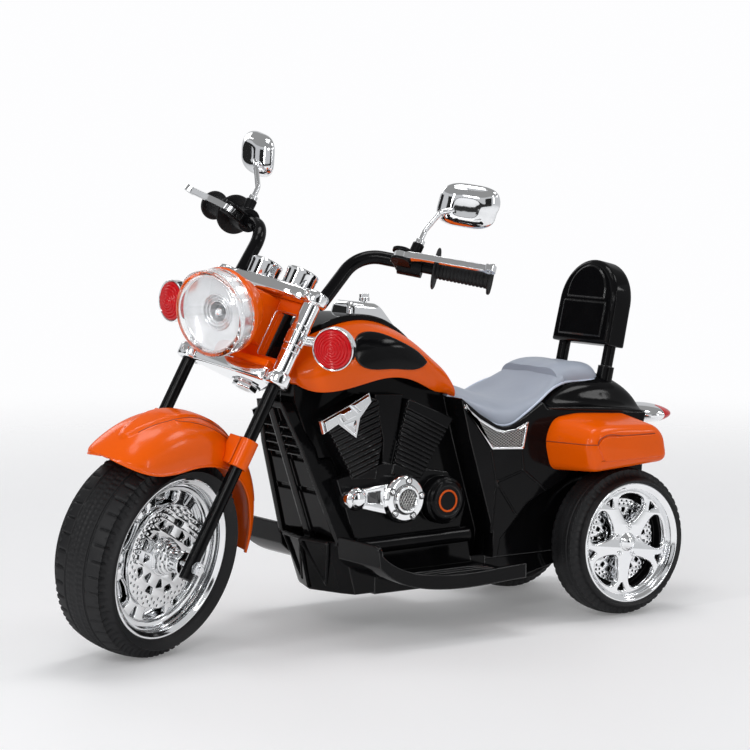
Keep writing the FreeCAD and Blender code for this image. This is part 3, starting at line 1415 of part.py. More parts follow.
def pedal_pin():
    """The pin under the pedal's heel."""
    half = PEDAL_W / 2 + 6
    return rod(pedal_axis() - SIDE * half, pedal_axis() + SIDE * half, PEDAL_PIN_R)


def pedal_ears():
    """The two ears on the right footboard that hold the pin."""
    axis = pedal_axis()
    ears = []
    for side in (-1, 1):
        inner = PEDAL_Y + side * (PEDAL_W / 2 + MOVING_GAP)
        outer = PEDAL_Y + side * (PEDAL_W / 2 + 6)
        ears.append(block(axis.x - 6, axis.x + 6, min(inner, outer), max(inner, outer), 61, axis.z + 4))
    return ears


def accelerator_pedal():
    """The foot pedal: a ribbed plate that rises to the front, hinged at its heel."""
    axis = pedal_axis()
    x = axis.x
    z = axis.z
    half = PEDAL_W / 2
    plate = slab([(x - 3, z + 1), (x - 2, z + 5), (x + PEDAL_LENGTH, z + 15), (x + PEDAL_LENGTH + 3, z + 11),
                  (x + 4, z - 1)], PEDAL_Y - half, PEDAL_Y + half)
    barrel = rod(axis - SIDE * half, axis + SIDE * half, 4.5)
    ribs = []
    for index in range(5):
        place = x + 14 + 10 * index
        rise = z + 5 + (place - x) * 10 / PEDAL_LENGTH
        ribs.append(block(place, place + 4, PEDAL_Y - half + 3, PEDAL_Y + half - 3, rise - 2, rise + 2))
    hole = rod(axis - SIDE * half, axis + SIDE * half, PEDAL_PIN_R + RUNNING_GAP)
    return fused([plate, barrel] + ribs).cut(hole)


FRONT_AXLE_STRAIGHT = TILT.multVec(FRONT_AXLE)


def steering_nodes():
    """Every piece that turns with the handlebars, in the steering's own upright frame."""
    axle = front_axle()
    forks = fork_tubes(axle)
    stem = steering_stem()
    bar = handlebar()
    bars = pair(bar)
    lower = lower_clamp(stem, forks)
    upper = upper_clamp(stem, forks, bars)
    housing = indicator_housing(forks)
    front_tyre, front_rim = front_wheel()
    left_lever = lever()
    left_mirror = mirror()
    return {
        "front_axle": axle,
        "fork_tubes": forks,
        "steering_stem": stem,
        "lower_clamp": lower,
        "upper_clamp": upper,
        "clamp_bolts": clamp_bolts(),
        "handlebars": bars,
        "grips": pair(grip(bar)),
        "lever_perches": pair(perch(bar)),
        "clutch_lever": left_lever,
        "brake_lever": mirrored(left_lever),
        "mirror_left": left_mirror,
        "mirror_right": mirrored(left_mirror),
        "headlight_shell": headlight_shell(),
        "headlight_reflector": headlight_reflector(),
        "headlight_lens": headlight_lens(),
        "headlight_bracket": headlight_bracket([lower, upper, stem]),
        "indicator_housings": pair(housing),
        "indicator_lenses": pair(indicator_lens()),
        "gauge_pods": gauge_pods(),
        "front_fender": front_fender(forks),
        "front_tyre": front_tyre,
        "front_rim": front_rim,
    }


def chassis_nodes():
    """Every piece that rides on the tub, with the rear wheels."""
    tub = body_outer()
    left = body_half()
    outer, pocket, pin = switch_pocket()
    socket = charging_socket()
    socket_face = point(SOCKET_PLACE[0], -PANEL_HALF, SOCKET_PLACE[1])
    barrel = Part.makeCylinder(SOCKET_R - 1.5, SOCKET_DEPTH + 3, socket_face, SIDE)
    motor = drive_motor()
    axle = rear_axle()
    box = gearbox(axle, motor)
    right = fused([mirrored(left), outer]).cut([pocket, barrel, box]).fuse(pin)
    tank_outer = tank_loft(0)
    tank = tank_half(tank_outer, tub)
    cowl = front_cowl(tub)
    engine = engine_half(tub, cowl, tank_outer)
    base = console_base(tank_outer, tub)
    struts = backrest_struts()
    fender = rear_fender(tub, struts)
    fender_outer = rear_fender_loft(0)
    belly = belly_pan()
    board = footboard([belly, tub, engine, cowl])
    pedal_bolt = pedal_pin()
    right_board = fused([mirrored(board)] + pedal_ears()).cut(pedal_bolt)
    lamp_housing, lamp_lens = tail_lamp(fender_outer, tub)
    rubber, rim = rear_wheel()
    both_tubs = [tub, mirrored(tub)]
    both_tanks = [tank_outer, mirrored(tank_outer)]
    return {
        "body_left": left,
        "body_right": right,
        "front_cowl": cowl,
        "belly_pan": belly,
        "footboard_left": board,
        "footboard_right": right_board,
        "engine_left": engine,
        "engine_right": mirrored(engine),
        "rocker_covers": pair(rocker_cover()),
        "primary_covers": pair(primary_cover(engine)),
        "tank_left": tank,
        "tank_right": mirrored(tank),
        "tank_panels": pair(tank_panel(tank_outer)),
        "console_base": base,
        "console": console(Part.makeCompound(both_tanks + [base])),
        "ignition_knob": ignition_knob(),
        "seat": seat(both_tubs + both_tanks + [fender_outer, base]),
        "rear_fender": fender,
        "saddlebag_left": saddlebag([tub, fender_outer]),
        "saddlebag_right": mirrored(saddlebag([tub, fender_outer])),
        "side_grilles": pair(side_grille()),
        "backrest_pad": backrest_pad(struts),
        "backrest_struts": struts,
        "tail_lamp_housing": lamp_housing,
        "tail_lamp_lens": lamp_lens,
        "rear_axle": axle,
        "gearbox": box,
        "drive_motor": motor,
        "battery": battery(),
        "charging_socket": socket,
        "direction_switch": direction_switch(),
        "pedal_pin": pedal_bolt,
        "accelerator_pedal": accelerator_pedal(),
        "rear_tyre_left": rubber,
        "rear_rim_left": rim,
        "rear_tyre_right": mirrored(rubber),
        "rear_rim_right": mirrored(rim),
    }


def main():
    """Writes every piece to its own file."""
    os.makedirs("parts", exist_ok=True)
    nodes = chassis_nodes()
    for name, shape in steering_nodes().items():
        nodes[name] = steered(shape)
    for name, shape in nodes.items():
        shape.exportStep(f"parts/{name}.step")
        print(name, len(shape.Solids), round(shape.Volume), "valid" if shape.isValid() else "NOT VALID")


main()
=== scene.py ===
import json
import math

import bmesh
import bpy
from mathutils import Matrix, Vector

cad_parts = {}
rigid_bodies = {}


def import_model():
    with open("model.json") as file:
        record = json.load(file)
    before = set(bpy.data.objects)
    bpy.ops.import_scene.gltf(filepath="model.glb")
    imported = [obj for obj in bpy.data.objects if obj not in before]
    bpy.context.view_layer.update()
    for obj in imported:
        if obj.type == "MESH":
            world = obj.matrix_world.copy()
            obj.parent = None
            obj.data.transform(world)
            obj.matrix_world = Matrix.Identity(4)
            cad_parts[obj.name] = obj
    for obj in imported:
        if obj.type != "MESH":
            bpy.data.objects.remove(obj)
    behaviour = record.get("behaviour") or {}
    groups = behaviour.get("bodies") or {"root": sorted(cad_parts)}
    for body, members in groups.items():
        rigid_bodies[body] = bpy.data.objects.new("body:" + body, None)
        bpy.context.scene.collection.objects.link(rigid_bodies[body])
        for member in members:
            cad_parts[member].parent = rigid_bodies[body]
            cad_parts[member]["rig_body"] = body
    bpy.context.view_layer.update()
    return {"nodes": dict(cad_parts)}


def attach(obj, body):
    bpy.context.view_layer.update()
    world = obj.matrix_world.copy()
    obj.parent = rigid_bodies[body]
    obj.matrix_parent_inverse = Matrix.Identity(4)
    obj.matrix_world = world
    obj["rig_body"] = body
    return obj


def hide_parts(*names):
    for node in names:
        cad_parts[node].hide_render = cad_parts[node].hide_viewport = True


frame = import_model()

bl_info = {
    "name": "Cruiser Trike",
    "version": (1, 0, 0),
    "blender": (4, 5, 0),
    "location": "View3D > Sidebar > Trike",
    "description": "Dresses a child's ride-on trike: tyres, rims, lamps, panels, seat and studio",
    "category": "Object",
}

# Pieces are drawn in millimetres; a place turns them into metres in the frame of the floor and rear axle.
MM = Matrix.Scale(0.001, 4)

# The head tube and the steering's own frame, with Z up the tube, turned as in the photo. STRAIGHT turns
# forms that are drawn for a straight wheel.
RAKE = 29.4
STEER_REST = 22.0
HEAD_X, HEAD_Z = 418.5, 317.579
FORK_X, FORK_Y, AXLE_Z = 32.0, 60.0, -251.5
LAMP_TILT = 34.4
TILT = Matrix.Translation((HEAD_X / 1000, 0.0, HEAD_Z / 1000)) @ Matrix.Rotation(math.radians(-RAKE), 4, "Y")
STEER = TILT @ Matrix.Rotation(math.radians(STEER_REST), 4, "Z") @ MM
STRAIGHT = TILT @ Matrix.Rotation(math.radians(STEER_REST), 4, "Z") @ TILT.inverted() @ MM
FRONT_HUB = STEER @ Matrix.Translation((FORK_X, 0.0, AXLE_Z))
FRONT_AXLE = TILT @ Vector((FORK_X / 1000, 0.0, AXLE_Z / 1000)) * 1000
FORK_LEG = Matrix.Translation((FORK_X, FORK_Y, 0.0))
LAMP_AXIS = Vector((math.cos(math.radians(LAMP_TILT)), 0.0, -math.sin(math.radians(LAMP_TILT))))
AHEAD = Vector((math.cos(math.radians(RAKE)), 0.0, -math.sin(math.radians(RAKE))))

# Turns of flat drawings: (x, y) to (x, z) on a side wall, and to (y, z) on a front wall.
SIDEWAYS = Matrix(((1, 0, 0, 0), (0, 0, 1, 0), (0, 1, 0, 0), (0, 0, 0, 1)))
FACING = Matrix(((0, 0, 1, 0), (1, 0, 0, 0), (0, 1, 0, 0), (0, 0, 0, 1)))

# Middles of a rear wheel, of the round covers and of the studio; the covers are measured from HEAD_X.
REAR_WHEEL_Y, REAR_WHEEL_Z = 104.0, 85.0
COVER_Y = 64.0
DRUM_X, DRUM_Z = -137.0, 152.0
PULLEY_X, PULLEY_Z = -193.0, 146.0
PULLEY_IN = 20.0
MIDDLE_X = 0.25

# Length of a grip, and how far out the tub's creases lie.
GRIP_LENGTH = 63.0
CREASE_Y = 77.4

# How much a plastic shines on its edges, as against its faces.
EDGE_GLOSS = 6

# Tyres: radius, width, crown radius, tread width, rim radius and rim width.
FRONT_TYRE = (113.0, 84.0, 115.0, 60.0, 86.0, 56.0)
REAR_TYRE = (85.0, 50.0, 90.0, 34.0, 67.0, 42.0)

# Rows of the front fender: turn round the axle in degrees, crown radius, edge radius and half width.
FENDER_ROWS = (
    (186.0, 136.0, 122.0, 36.0), (165.0, 142.0, 119.0, 41.0), (140.0, 148.0, 115.0, 46.0),
    (113.0, 151.0, 108.0, 48.0), (92.0, 150.5, 104.0, 48.0), (78.0, 149.2, 104.5, 47.6),
    (68.0, 147.4, 110.0, 46.0), (62.0, 146.0, 117.0, 43.5), (58.0, 145.0, 125.0, 39.0),
    (55.4, 144.3, 133.0, 31.0), (54.2, 144.0, 139.0, 20.0), (53.8, 143.8, 143.0, 7.0))
FENDER_WALL = 2.6

# The photo's camera: place in metres, yaw, pitch and roll in degrees, and lens in millimetres.
CAMERA_PLACE = (1.8588, 2.3103, 0.5587)
CAMERA_TURN = (-124.54, -5.63, 0.12)
CAMERA_LENS = 120.55


class TrikeColours(bpy.types.PropertyGroup):
    """Colours of the trike's finishes."""

    orange: bpy.props.FloatVectorProperty(
        name="Panels", description="Gloss paint of the tank, bags and front fender", subtype="COLOR", size=3,
        min=0.0, max=1.0, default=(0.95, 0.122, 0.0012))
    black: bpy.props.FloatVectorProperty(
        name="Body", description="Gloss plastic of the body", subtype="COLOR", size=3,
        min=0.0, max=1.0, default=(0.004, 0.004, 0.0045))
    rubber: bpy.props.FloatVectorProperty(
        name="Tyres", description="Matt plastic of the tyres", subtype="COLOR", size=3,
        min=0.0, max=1.0, default=(0.010, 0.010, 0.011))
    seat: bpy.props.FloatVectorProperty(
        name="Seat", description="Moulded seat", subtype="COLOR", size=3,
        min=0.0, max=1.0, default=(0.395, 0.44, 0.525))
    lens: bpy.props.FloatVectorProperty(
        name="Red lenses", description="Indicator and tail lamp lenses", subtype="COLOR", size=3,
        min=0.0, max=1.0, default=(0.66, 0.003, 0.008))


class TrikeSizes(bpy.types.PropertyGroup):
    """Sizes of the details that dress the trike."""

    tread_depth: bpy.props.FloatProperty(
        name="Tread depth", description="Depth of the cuts in the tyres", unit="LENGTH", default=0.002,
        min=0.0, max=0.004)
    front_cuts: bpy.props.IntProperty(
        name="Front shoulder cuts", description="Cuts round each shoulder of the front tyre", default=40,
        min=8, max=90)
    rear_cuts: bpy.props.IntProperty(
        name="Rear shoulder cuts", description="Cuts round each shoulder of a rear tyre", default=54, min=8,
        max=90)
    disc_hole: bpy.props.FloatProperty(
        name="Disc holes", description="Radius of the holes in the brake discs", unit="LENGTH",
        default=0.0016, min=0.0005, max=0.003)
    stud: bpy.props.FloatProperty(
        name="Cover bolts", description="Radius of the bolts on the chrome covers", unit="LENGTH",
        default=0.0034, min=0.001, max=0.006)
    wire: bpy.props.FloatProperty(
        name="Mesh wire", description="Radius of the wires in the round air mesh", unit="LENGTH",
        default=0.0005, min=0.0002, max=0.001)
    grip_ribs: bpy.props.IntProperty(
        name="Grip ribs", description="Ribs along each grip", default=13, min=4, max=20)


def at(x=0.0, y=0.0, z=0.0):
    """A place at a point."""
    return Matrix.Translation((x, y, z))


def put(name, data):
    """A new object in the scene."""
    obj = bpy.data.objects.new(name, data)
    bpy.context.scene.collection.objects.link(obj)
    return obj


def meshed(name, corners, faces, edges=()):
    """A new mesh from its corners and faces."""
    mesh = bpy.data.meshes.new(name)
    mesh.from_pydata(corners, edges, faces)
    return mesh


def feed(tree, node, inputs):
    """Fills a node's inputs, given by name or number, with plain values or the sockets that they follow."""
    for key, value in inputs.items():
        if isinstance(value, bpy.types.NodeSocket):
            tree.links.new(value, node.inputs[key])
        else:
            node.inputs[key].default_value = value
    return node


def add(tree, kind, inputs=None, **settings):
    """A node with its settings and inputs."""
    node = tree.nodes.new(kind)
    for key, value in settings.items():
        setattr(node, key, value)
    return feed(tree, node, inputs or {})


def maths(tree, operation, *terms):
    """The result of a maths node on sockets and plain numbers."""
    return add(tree, "ShaderNodeMath", dict(enumerate(terms)), operation=operation).outputs["Value"]


def ranged(tree, value, limits, **settings):
    """A value moved from one range to another."""
    return add(tree, "ShaderNodeMapRange", {"Value": value, **limits}, **settings).outputs["Result"]


def kept(name, make):
    """The node group of that name, made the first time that it is asked for."""
    return bpy.data.node_groups.get(name) or make(name)


def group_tree(name, kind, inputs, outputs):
    """A new node group with its sockets, the outputs of its start and its end node."""
    tree = bpy.data.node_groups.new(name, kind)
    for label, socket_kind, value in inputs:
        socket = tree.interface.new_socket(label, in_out="INPUT", socket_type="NodeSocket" + socket_kind)
        if value is not None:
            socket.default_value = value
    for label, socket_kind in outputs:
        tree.interface.new_socket(label, in_out="OUTPUT", socket_type="NodeSocket" + socket_kind)
    return tree, tree.nodes.new("NodeGroupInput").outputs, tree.nodes.new("NodeGroupOutput")


def handling_group(name):
    """Faint smears and fine rubbing: a roughness between two values, and a mask of the rubbed spots."""
    group, given, end = group_tree(
        name, "ShaderNodeTree",
        [("Vector", "Vector", None), ("Low", "Float", 0.1), ("High", "Float", 0.2), ("Scale", "Float", 14.0)],
        [("Roughness", "Float"), ("Mask", "Float")])
    broad = add(group, "ShaderNodeTexNoise",
                {"Vector": given["Vector"], "Scale": given["Scale"], "Detail": 5.0,
                                              "Roughness": 0.62, "Distortion": 0.6}).outputs["Fac"]
    rough = ranged(group, broad, {"From Min": 0.36, "From Max": 0.66, "To Min": given["Low"],
                                  "To Max": given["High"]})
    feed(group, end, {"Roughness": rough, "Mask": ranged(group, broad, {"From Min": 0.5, "From Max": 0.72})})
    return group


def grain_group(name):
    """Moulded grain: fine pits over a slow waviness, as a height."""
    group, given, end = group_tree(
        name, "ShaderNodeTree",
        [("Vector", "Vector", None), ("Grain", "Float", 900.0), ("Wave", "Float", 24.0),
         ("Pits", "Float", 0.5)],
        [("Height", "Float")])
    fine = add(group, "ShaderNodeTexVoronoi",
               {"Vector": given["Vector"], "Scale": given["Grain"], "Smoothness": 0.7}, feature="SMOOTH_F1")
    slow = add(group, "ShaderNodeTexNoise",
               {"Vector": given["Vector"], "Scale": given["Wave"], "Detail": 1.0})
    pits = maths(group, "MULTIPLY", fine.outputs["Distance"], given["Pits"])
    feed(group, end, {"Height": maths(group, "ADD", pits, slow.outputs["Fac"])})
    return group


def edge_group(name):
    """Softened edges: the normal of a small round on every edge, and a mask of where it bends."""
    group, given, end = group_tree(name, "ShaderNodeTree", [("Radius", "Float", 0.001)],
                                   [("Normal", "Vector"), ("Mask", "Float")])
    rounding = add(group, "ShaderNodeBevel", {"Radius": given["Radius"]}, samples=6).outputs["Normal"]
    flat = add(group, "ShaderNodeNewGeometry").outputs["Normal"]
    bend = add(group, "ShaderNodeVectorMath", {0: rounding, 1: flat},
               operation="DOT_PRODUCT").outputs["Value"]
    feed(group, end, {"Normal": rounding, "Mask": ranged(group, bend, {"From Min": 0.99, "From Max": 0.8})})
    return group


def blank_finish(name):
    """A new material, its nodes and its surface."""
    material = bpy.data.materials.new(name)
    material.use_nodes = True
    return material, material.node_tree, material.node_tree.nodes["Principled BSDF"]


def gloss(tree, surface, mask, level):
    """A plastic's gloss: strongest on the edges, faint where the surface is seen aslant."""
    bright = ranged(tree, mask, {"To Min": level, "To Max": min(1.0, level * EDGE_GLOSS)})
    facing = add(tree, "ShaderNodeLayerWeight", {"Blend": 0.5}).outputs["Facing"]
    aslant = ranged(tree, facing, {"From Min": 0.3, "From Max": 0.88, "To Min": 1.0, "To Max": 0.06})
    feed(tree, surface, {"Specular IOR Level": maths(tree, "MULTIPLY", bright, aslant)})


def finish_nodes(name, colour, second, rough, grain, bump, edge, settings):
    """A finish: two close colours, wandering roughness, moulded grain and softened edges."""
    material, tree, surface = blank_finish(name)
    place = add(tree, "ShaderNodeTexCoord").outputs["Object"]
    marks = add(tree, "ShaderNodeGroup", {"Vector": place, "Low": rough[0], "High": rough[1]},
                node_tree=kept("Handling marks", handling_group)).outputs
    blend = add(tree, "ShaderNodeMix", {"Factor": marks["Mask"], "A": (*colour, 1.0), "B": (*second, 1.0)},
                data_type="RGBA")
    texture = add(tree, "ShaderNodeGroup",
                  {"Vector": place, "Grain": grain[0], "Wave": grain[1], "Pits": grain[2]},
                  node_tree=kept("Moulded grain", grain_group))
    edges = add(tree, "ShaderNodeGroup", {"Radius": edge}, node_tree=kept("Soft edges", edge_group)).outputs
    relief = add(tree, "ShaderNodeBump", {"Strength": bump[0], "Distance": bump[1], "Normal": edges["Normal"],
                                          "Height": texture.outputs["Height"]})
    feed(tree, surface, {"Base Color": blend.outputs["Result"], "Roughness": marks["Roughness"],
                         "Normal": relief.outputs["Normal"], **settings})
    if "Specular IOR Level" in settings:
        gloss(tree, surface, edges["Mask"], settings["Specular IOR Level"])
    return material


def let_light_through(material):
    """Lets the lamps shine through a clear finish."""
    tree = material.node_tree
    shadow = add(tree, "ShaderNodeLightPath").outputs["Is Shadow Ray"]
    feed(tree, tree.nodes["Principled BSDF"], {"Alpha": maths(tree, "SUBTRACT", 1.0, shadow)})


def tint(colour, share):
    """A colour made darker or lighter."""
    return [min(1.0, value * share) for value in colour]


def paint(name):
    """The finish of that name, made the first time that it is asked for."""
    label = name + "_finish"
    if label in bpy.data.materials:
        return bpy.data.materials[label]
    colours = bpy.context.scene.trike_colours
    orange, seat, red = colours.orange, colours.seat, colours.lens
    black, rubber = colours.black, colours.rubber
    bright = (0.84, 0.85, 0.86)
    shell = {"Coat Weight": 0.1, "Coat Roughness": 0.03, "Specular IOR Level": 0.16}
    recipes = {
        "orange": (orange, tint(orange, 0.93), (0.16, 0.24), (700.0, 20.0, 0.15), (0.05, 0.0006), 0.0012,
                   shell),
        "ring": (tint(orange, 0.8), orange, (0.2, 0.3), (700.0, 20.0, 0.2), (0.05, 0.0004), 0.0004, shell),
        "body_black": (black, tint(black, 1.5), (0.06, 0.12), (600.0, 16.0, 0.1), (0.06, 0.0008), 0.0026,
                       {"Specular IOR Level": 0.11}),
        "trim_black": (tint(black, 1.3), tint(black, 2.0), (0.24, 0.36), (900.0, 20.0, 0.5),
                       (0.12, 0.0005), 0.0014, {"Specular IOR Level": 0.11}),
        "chrome": (bright, (0.78, 0.79, 0.81), (0.03, 0.08), (400.0, 30.0, 0.05), (0.05, 0.0008), 0.0009,
                   {"Metallic": 1.0}),
        "rim_chrome": (bright, (0.8, 0.81, 0.83), (0.05, 0.11), (400.0, 36.0, 0.05), (0.06, 0.0008), 0.0009,
                       {"Metallic": 1.0}),
        "bowl": ((0.7, 0.7, 0.71), (0.64, 0.65, 0.66), (0.12, 0.2), (400.0, 30.0, 0.05), (0.05, 0.0006),
                 0.0005, {"Metallic": 0.7}),
        "glass": ((0.9, 0.91, 0.92), (0.88, 0.89, 0.9), (0.01, 0.03), (300.0, 10.0, 0.0), (0.01, 0.0002),
                  0.0004, {"Metallic": 1.0}),
        "tyre_black": (rubber, tint(rubber, 1.45), (0.46, 0.6), (850.0, 30.0, 0.6), (0.22, 0.0005), 0.0006,
                       {"Specular IOR Level": 0.28}),
        "grip_black": (tint(rubber, 0.8), rubber, (0.4, 0.55), (1000.0, 30.0, 0.7), (0.25, 0.0004), 0.0005,
                       {"Specular IOR Level": 0.28}),
        "seat_grey": (seat, tint(seat, 0.94), (0.36, 0.48), (1100.0, 18.0, 0.6), (0.14, 0.0004), 0.0012,
                      {"Sheen Weight": 0.05}),
        # Light grey for the bead on the seat's lower lip: a painted highlight.
        "painted_lip_highlight": (tint(seat, 1.7), tint(seat, 1.5), (0.35, 0.45), (1100.0, 30.0, 0.4),
                   (0.1, 0.0003), 0.0003, {}),
        # Dark orange for the fine lines on the fender and the bag: painted shade in their creases and seam.
        "painted_seam_shade": (tint(orange, 0.42), tint(orange, 0.5), (0.5, 0.6), (900.0, 30.0, 0.3),
                 (0.1, 0.0003), 0.0002, {}),
        "lens_red": (red, tint(red, 0.8), (0.05, 0.1), (500.0, 60.0, 0.1), (0.05, 0.0005), 0.0005,
                     {"Coat Weight": 0.4, "Coat Roughness": 0.02, "Specular IOR Level": 0.2}),
        "lens_clear": ((0.97, 0.98, 0.985), (0.94, 0.955, 0.965), (0.01, 0.03), (500.0, 40.0, 0.05),
                       (0.03, 0.0004), 0.0006, {"Transmission Weight": 1.0, "IOR": 1.49}),
        "steel": ((0.52, 0.52, 0.51), (0.42, 0.42, 0.42), (0.22, 0.36), (900.0, 60.0, 0.4), (0.12, 0.0004),
                  0.0005, {"Metallic": 1.0}),
        # Black for the gauge dials, and also as painted shade in the chrome covers' hollows.
        "dial_and_shade": ((0.012, 0.012, 0.014), (0.02, 0.02, 0.022), (0.08, 0.16), (700.0, 20.0, 0.1), (0.05, 0.0003),
                 0.0003, {"Coat Weight": 1.0}),
        "battery_grey": ((0.05, 0.05, 0.055), (0.07, 0.07, 0.075), (0.4, 0.55), (900.0, 20.0, 0.6),
                         (0.2, 0.0005), 0.0006, {}),
        "gearbox_grey": ((0.16, 0.16, 0.17), (0.2, 0.2, 0.21), (0.4, 0.55), (900.0, 20.0, 0.6), (0.2, 0.0005),
                         0.0006, {}),
    }
    material = finish_nodes(label, *recipes[name])
    if name == "lens_clear":
        let_light_through(material)
    return material


def shaded(mesh, angle=34.0):
    """Smooth shading, with edges sharper than an angle kept sharp."""
    mesh.polygons.foreach_set("use_smooth", [True] * len(mesh.polygons))
    mesh.set_sharp_from_angle(angle=math.radians(angle))
    return mesh


def outward(mesh, merge=0.00001):
    """Joins doubled corners and turns every face outward."""
    bm = bmesh.new()
    bm.from_mesh(mesh)
    bmesh.ops.remove_doubles(bm, verts=bm.verts, dist=merge)
    bmesh.ops.recalc_face_normals(bm, faces=bm.faces)
    bm.to_mesh(mesh)
    bm.free()
    return mesh


def piece(name, mesh, body, finish, *nodes):
    """A finished piece: a mesh that rides on a body and stands for CAD nodes."""
    obj = put(name, mesh)
    if not mesh.materials:
        mesh.materials.append(paint(finish))
    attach(obj, body)
    if nodes:
        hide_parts(*nodes)
    return obj


def dressed(node, finish, angle=34.0):
    """A CAD node's own form with its corners joined and its curves shaded smooth."""
    source = frame["nodes"][node]
    bm = bmesh.new()
    bm.from_mesh(source.data)
    bmesh.ops.remove_doubles(bm, verts=bm.verts, dist=0.000002)
    bm.verts.ensure_lookup_table()
    bm.verts.index_update()
    corners = [vert.co.copy() for vert in bm.verts]
    faces = [[vert.index for vert in face.verts] for face in bm.faces]
    bm.free()
    mesh = shaded(meshed(node + "_form", corners, faces), angle)
    return piece(node + "_dressed", mesh, source["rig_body"], finish, node)


def arc(first, middle, last, count):
    """Points on the circle through three points."""
    ax, ay = first
    bx, by = middle
    cx, cy = last
    d = 2 * (ax * (by - cy) + bx * (cy - ay) + cx * (ay - by))
    a, b, c = ax * ax + ay * ay, bx * bx + by * by, cx * cx + cy * cy
    ux = (a * (by - cy) + b * (cy - ay) + c * (ay - by)) / d
    uy = (a * (cx - bx) + b * (ax - cx) + c * (bx - ax)) / d
    radius = math.hypot(ax - ux, ay - uy)
    start = math.atan2(ay - uy, ax - ux)
    sweep = math.atan2(cy - uy, cx - ux) - start
    half = math.atan2(by - uy, bx - ux) - start
    sweep -= 2 * math.pi * round(sweep / (2 * math.pi))
    half -= 2 * math.pi * round(half / (2 * math.pi))
    if sweep * half < 0:
        sweep -= math.copysign(2 * math.pi, sweep)
    turns = [start + sweep * i / count for i in range(count + 1)]
    return [(ux + radius * math.cos(turn), uy + radius * math.sin(turn)) for turn in turns]


def aim(origin, direction):
    """A place in millimetres at a point, with Z along a direction."""
    turn = Vector(direction).to_track_quat("Z", "Y").to_matrix().to_4x4()
    return Matrix.Translation(origin) @ turn


def turned(profile, place, segments=64):
    """A turned piece: (radius, height) points, spun round Z; points on the axis close it."""
    corners = []
    rings = []
    for radius, height in profile:
        if radius < 0.001:
            rings.append([len(corners)] * segments)
            corners.append(Vector((0.0, 0.0, height)))
        else:
            rings.append(list(range(len(corners), len(corners) + segments)))
            for step in range(segments):
                turn = 2 * math.pi * step / segments
                corners.append(Vector((radius * math.cos(turn), radius * math.sin(turn), height)))
    closed = profile[0][0] > 0.001 and profile[-1][0] > 0.001
    faces = []
    pairs = list(zip(rings, rings[1:] + rings[:1])) if closed else list(zip(rings, rings[1:]))
    for low, high in pairs:
        for step in range(segments):
            after = (step + 1) % segments
            face = []
            for index in (low[step], low[after], high[after], high[step]):
                if index not in face:
                    face.append(index)
            if len(face) > 2:
                faces.append(face)
    return shaded(outward(meshed("turned", [place @ corner for corner in corners], faces)))


def from_curve(curve, place):
    """The mesh of a curve, put in place; the curve goes."""
    holder = bpy.data.objects.new("curve", curve)
    mesh = bpy.data.meshes.new_from_object(holder)
    bpy.data.objects.remove(holder)
    bpy.data.curves.remove(curve)
    mesh.transform(place)
    return mesh


def plate(loops, thickness, round_edge, place, rounding=2):
    """A flat plate of closed (x, y) loops, holes among them, with rounded edges, on the place's XY plane."""
    curve = bpy.data.curves.new("plate", "CURVE")
    curve.dimensions = "2D"
    curve.fill_mode = "BOTH"
    curve.extrude = thickness / 2 - round_edge
    curve.bevel_depth = round_edge
    curve.bevel_resolution = rounding
    curve.offset = -round_edge
    for loop in loops:
        spline = curve.splines.new("POLY")
        spline.points.add(len(loop) - 1)
        for corner, (x, y) in zip(spline.points, loop):
            corner.co = (x, y, 0.0, 1.0)
        spline.use_cyclic_u = True
    return shaded(outward(from_curve(curve, place @ at(z=thickness / 2))), 40.0)


def tube(points, radius, place, cyclic=False, sides=3):
    """A round bead along a smooth line through points."""
    curve = bpy.data.curves.new("bead", "CURVE")
    curve.dimensions = "3D"
    curve.bevel_depth = radius
    curve.bevel_resolution = sides
    curve.use_fill_caps = not cyclic
    curve.resolution_u = 8
    spline = curve.splines.new("BEZIER")
    spline.bezier_points.add(len(points) - 1)
    for knot, point in zip(spline.bezier_points, points):
        knot.co = point
        knot.handle_left_type = "AUTO"
        knot.handle_right_type = "AUTO"
    spline.use_cyclic_u = cyclic
    return shaded(outward(from_curve(curve, place), 0.000001), 60.0)


def joined(meshes):
    """Several meshes as one; their materials are set afterwards."""
    bm = bmesh.new()
    for mesh in meshes:
        bm.from_mesh(mesh)
    whole = bpy.data.meshes.new("joined")
    bm.to_mesh(whole)
    bm.free()
    return whole


def both_sides(left):
    """A piece of the left and its mirror image for the right, as one mesh."""
    right = left.copy()
    right.transform(Matrix.Scale(-1.0, 4, (0.0, 1.0, 0.0)))
    right.flip_normals()
    return joined([left, right])


def steered_sides(left):
    """A left piece drawn in the steering's own frame, and its mirror image, both put in place."""
    whole = both_sides(left)
    whole.transform(STEER)
    return whole


def ring_loop(radius, count=48, centre=(0.0, 0.0)):
    """A round loop."""
    turns = [2 * math.pi * i / count for i in range(count)]
    return [(centre[0] + radius * math.cos(turn), centre[1] + radius * math.sin(turn)) for turn in turns]


def circle_spots(radius, count, offset=0.0):
    """Points on a circle from its top, moved on by a share of their spacing."""
    turns = [2 * math.pi * (index + offset) / count for index in range(count)]
    return [(radius * math.sin(turn), radius * math.cos(turn)) for turn in turns]


def band(inner, outer, low, high):
    """The profile of a plain ring to turn."""
    return [(inner, low), (outer, low), (outer, high), (inner, high)]


def holes(radius, count, rings):
    """Round holes in rings, each with its radius, a share of the holes' radius and a shift round it."""
    return [ring_loop(radius * share, 8, spot) for ring, share, shift in rings
            for spot in circle_spots(ring, count, shift)]


def spun(loop, angle):
    """A loop turned about the origin."""
    c, s = math.cos(math.radians(angle)), math.sin(math.radians(angle))
    return [(x * c - y * s, x * s + y * c) for x, y in loop]


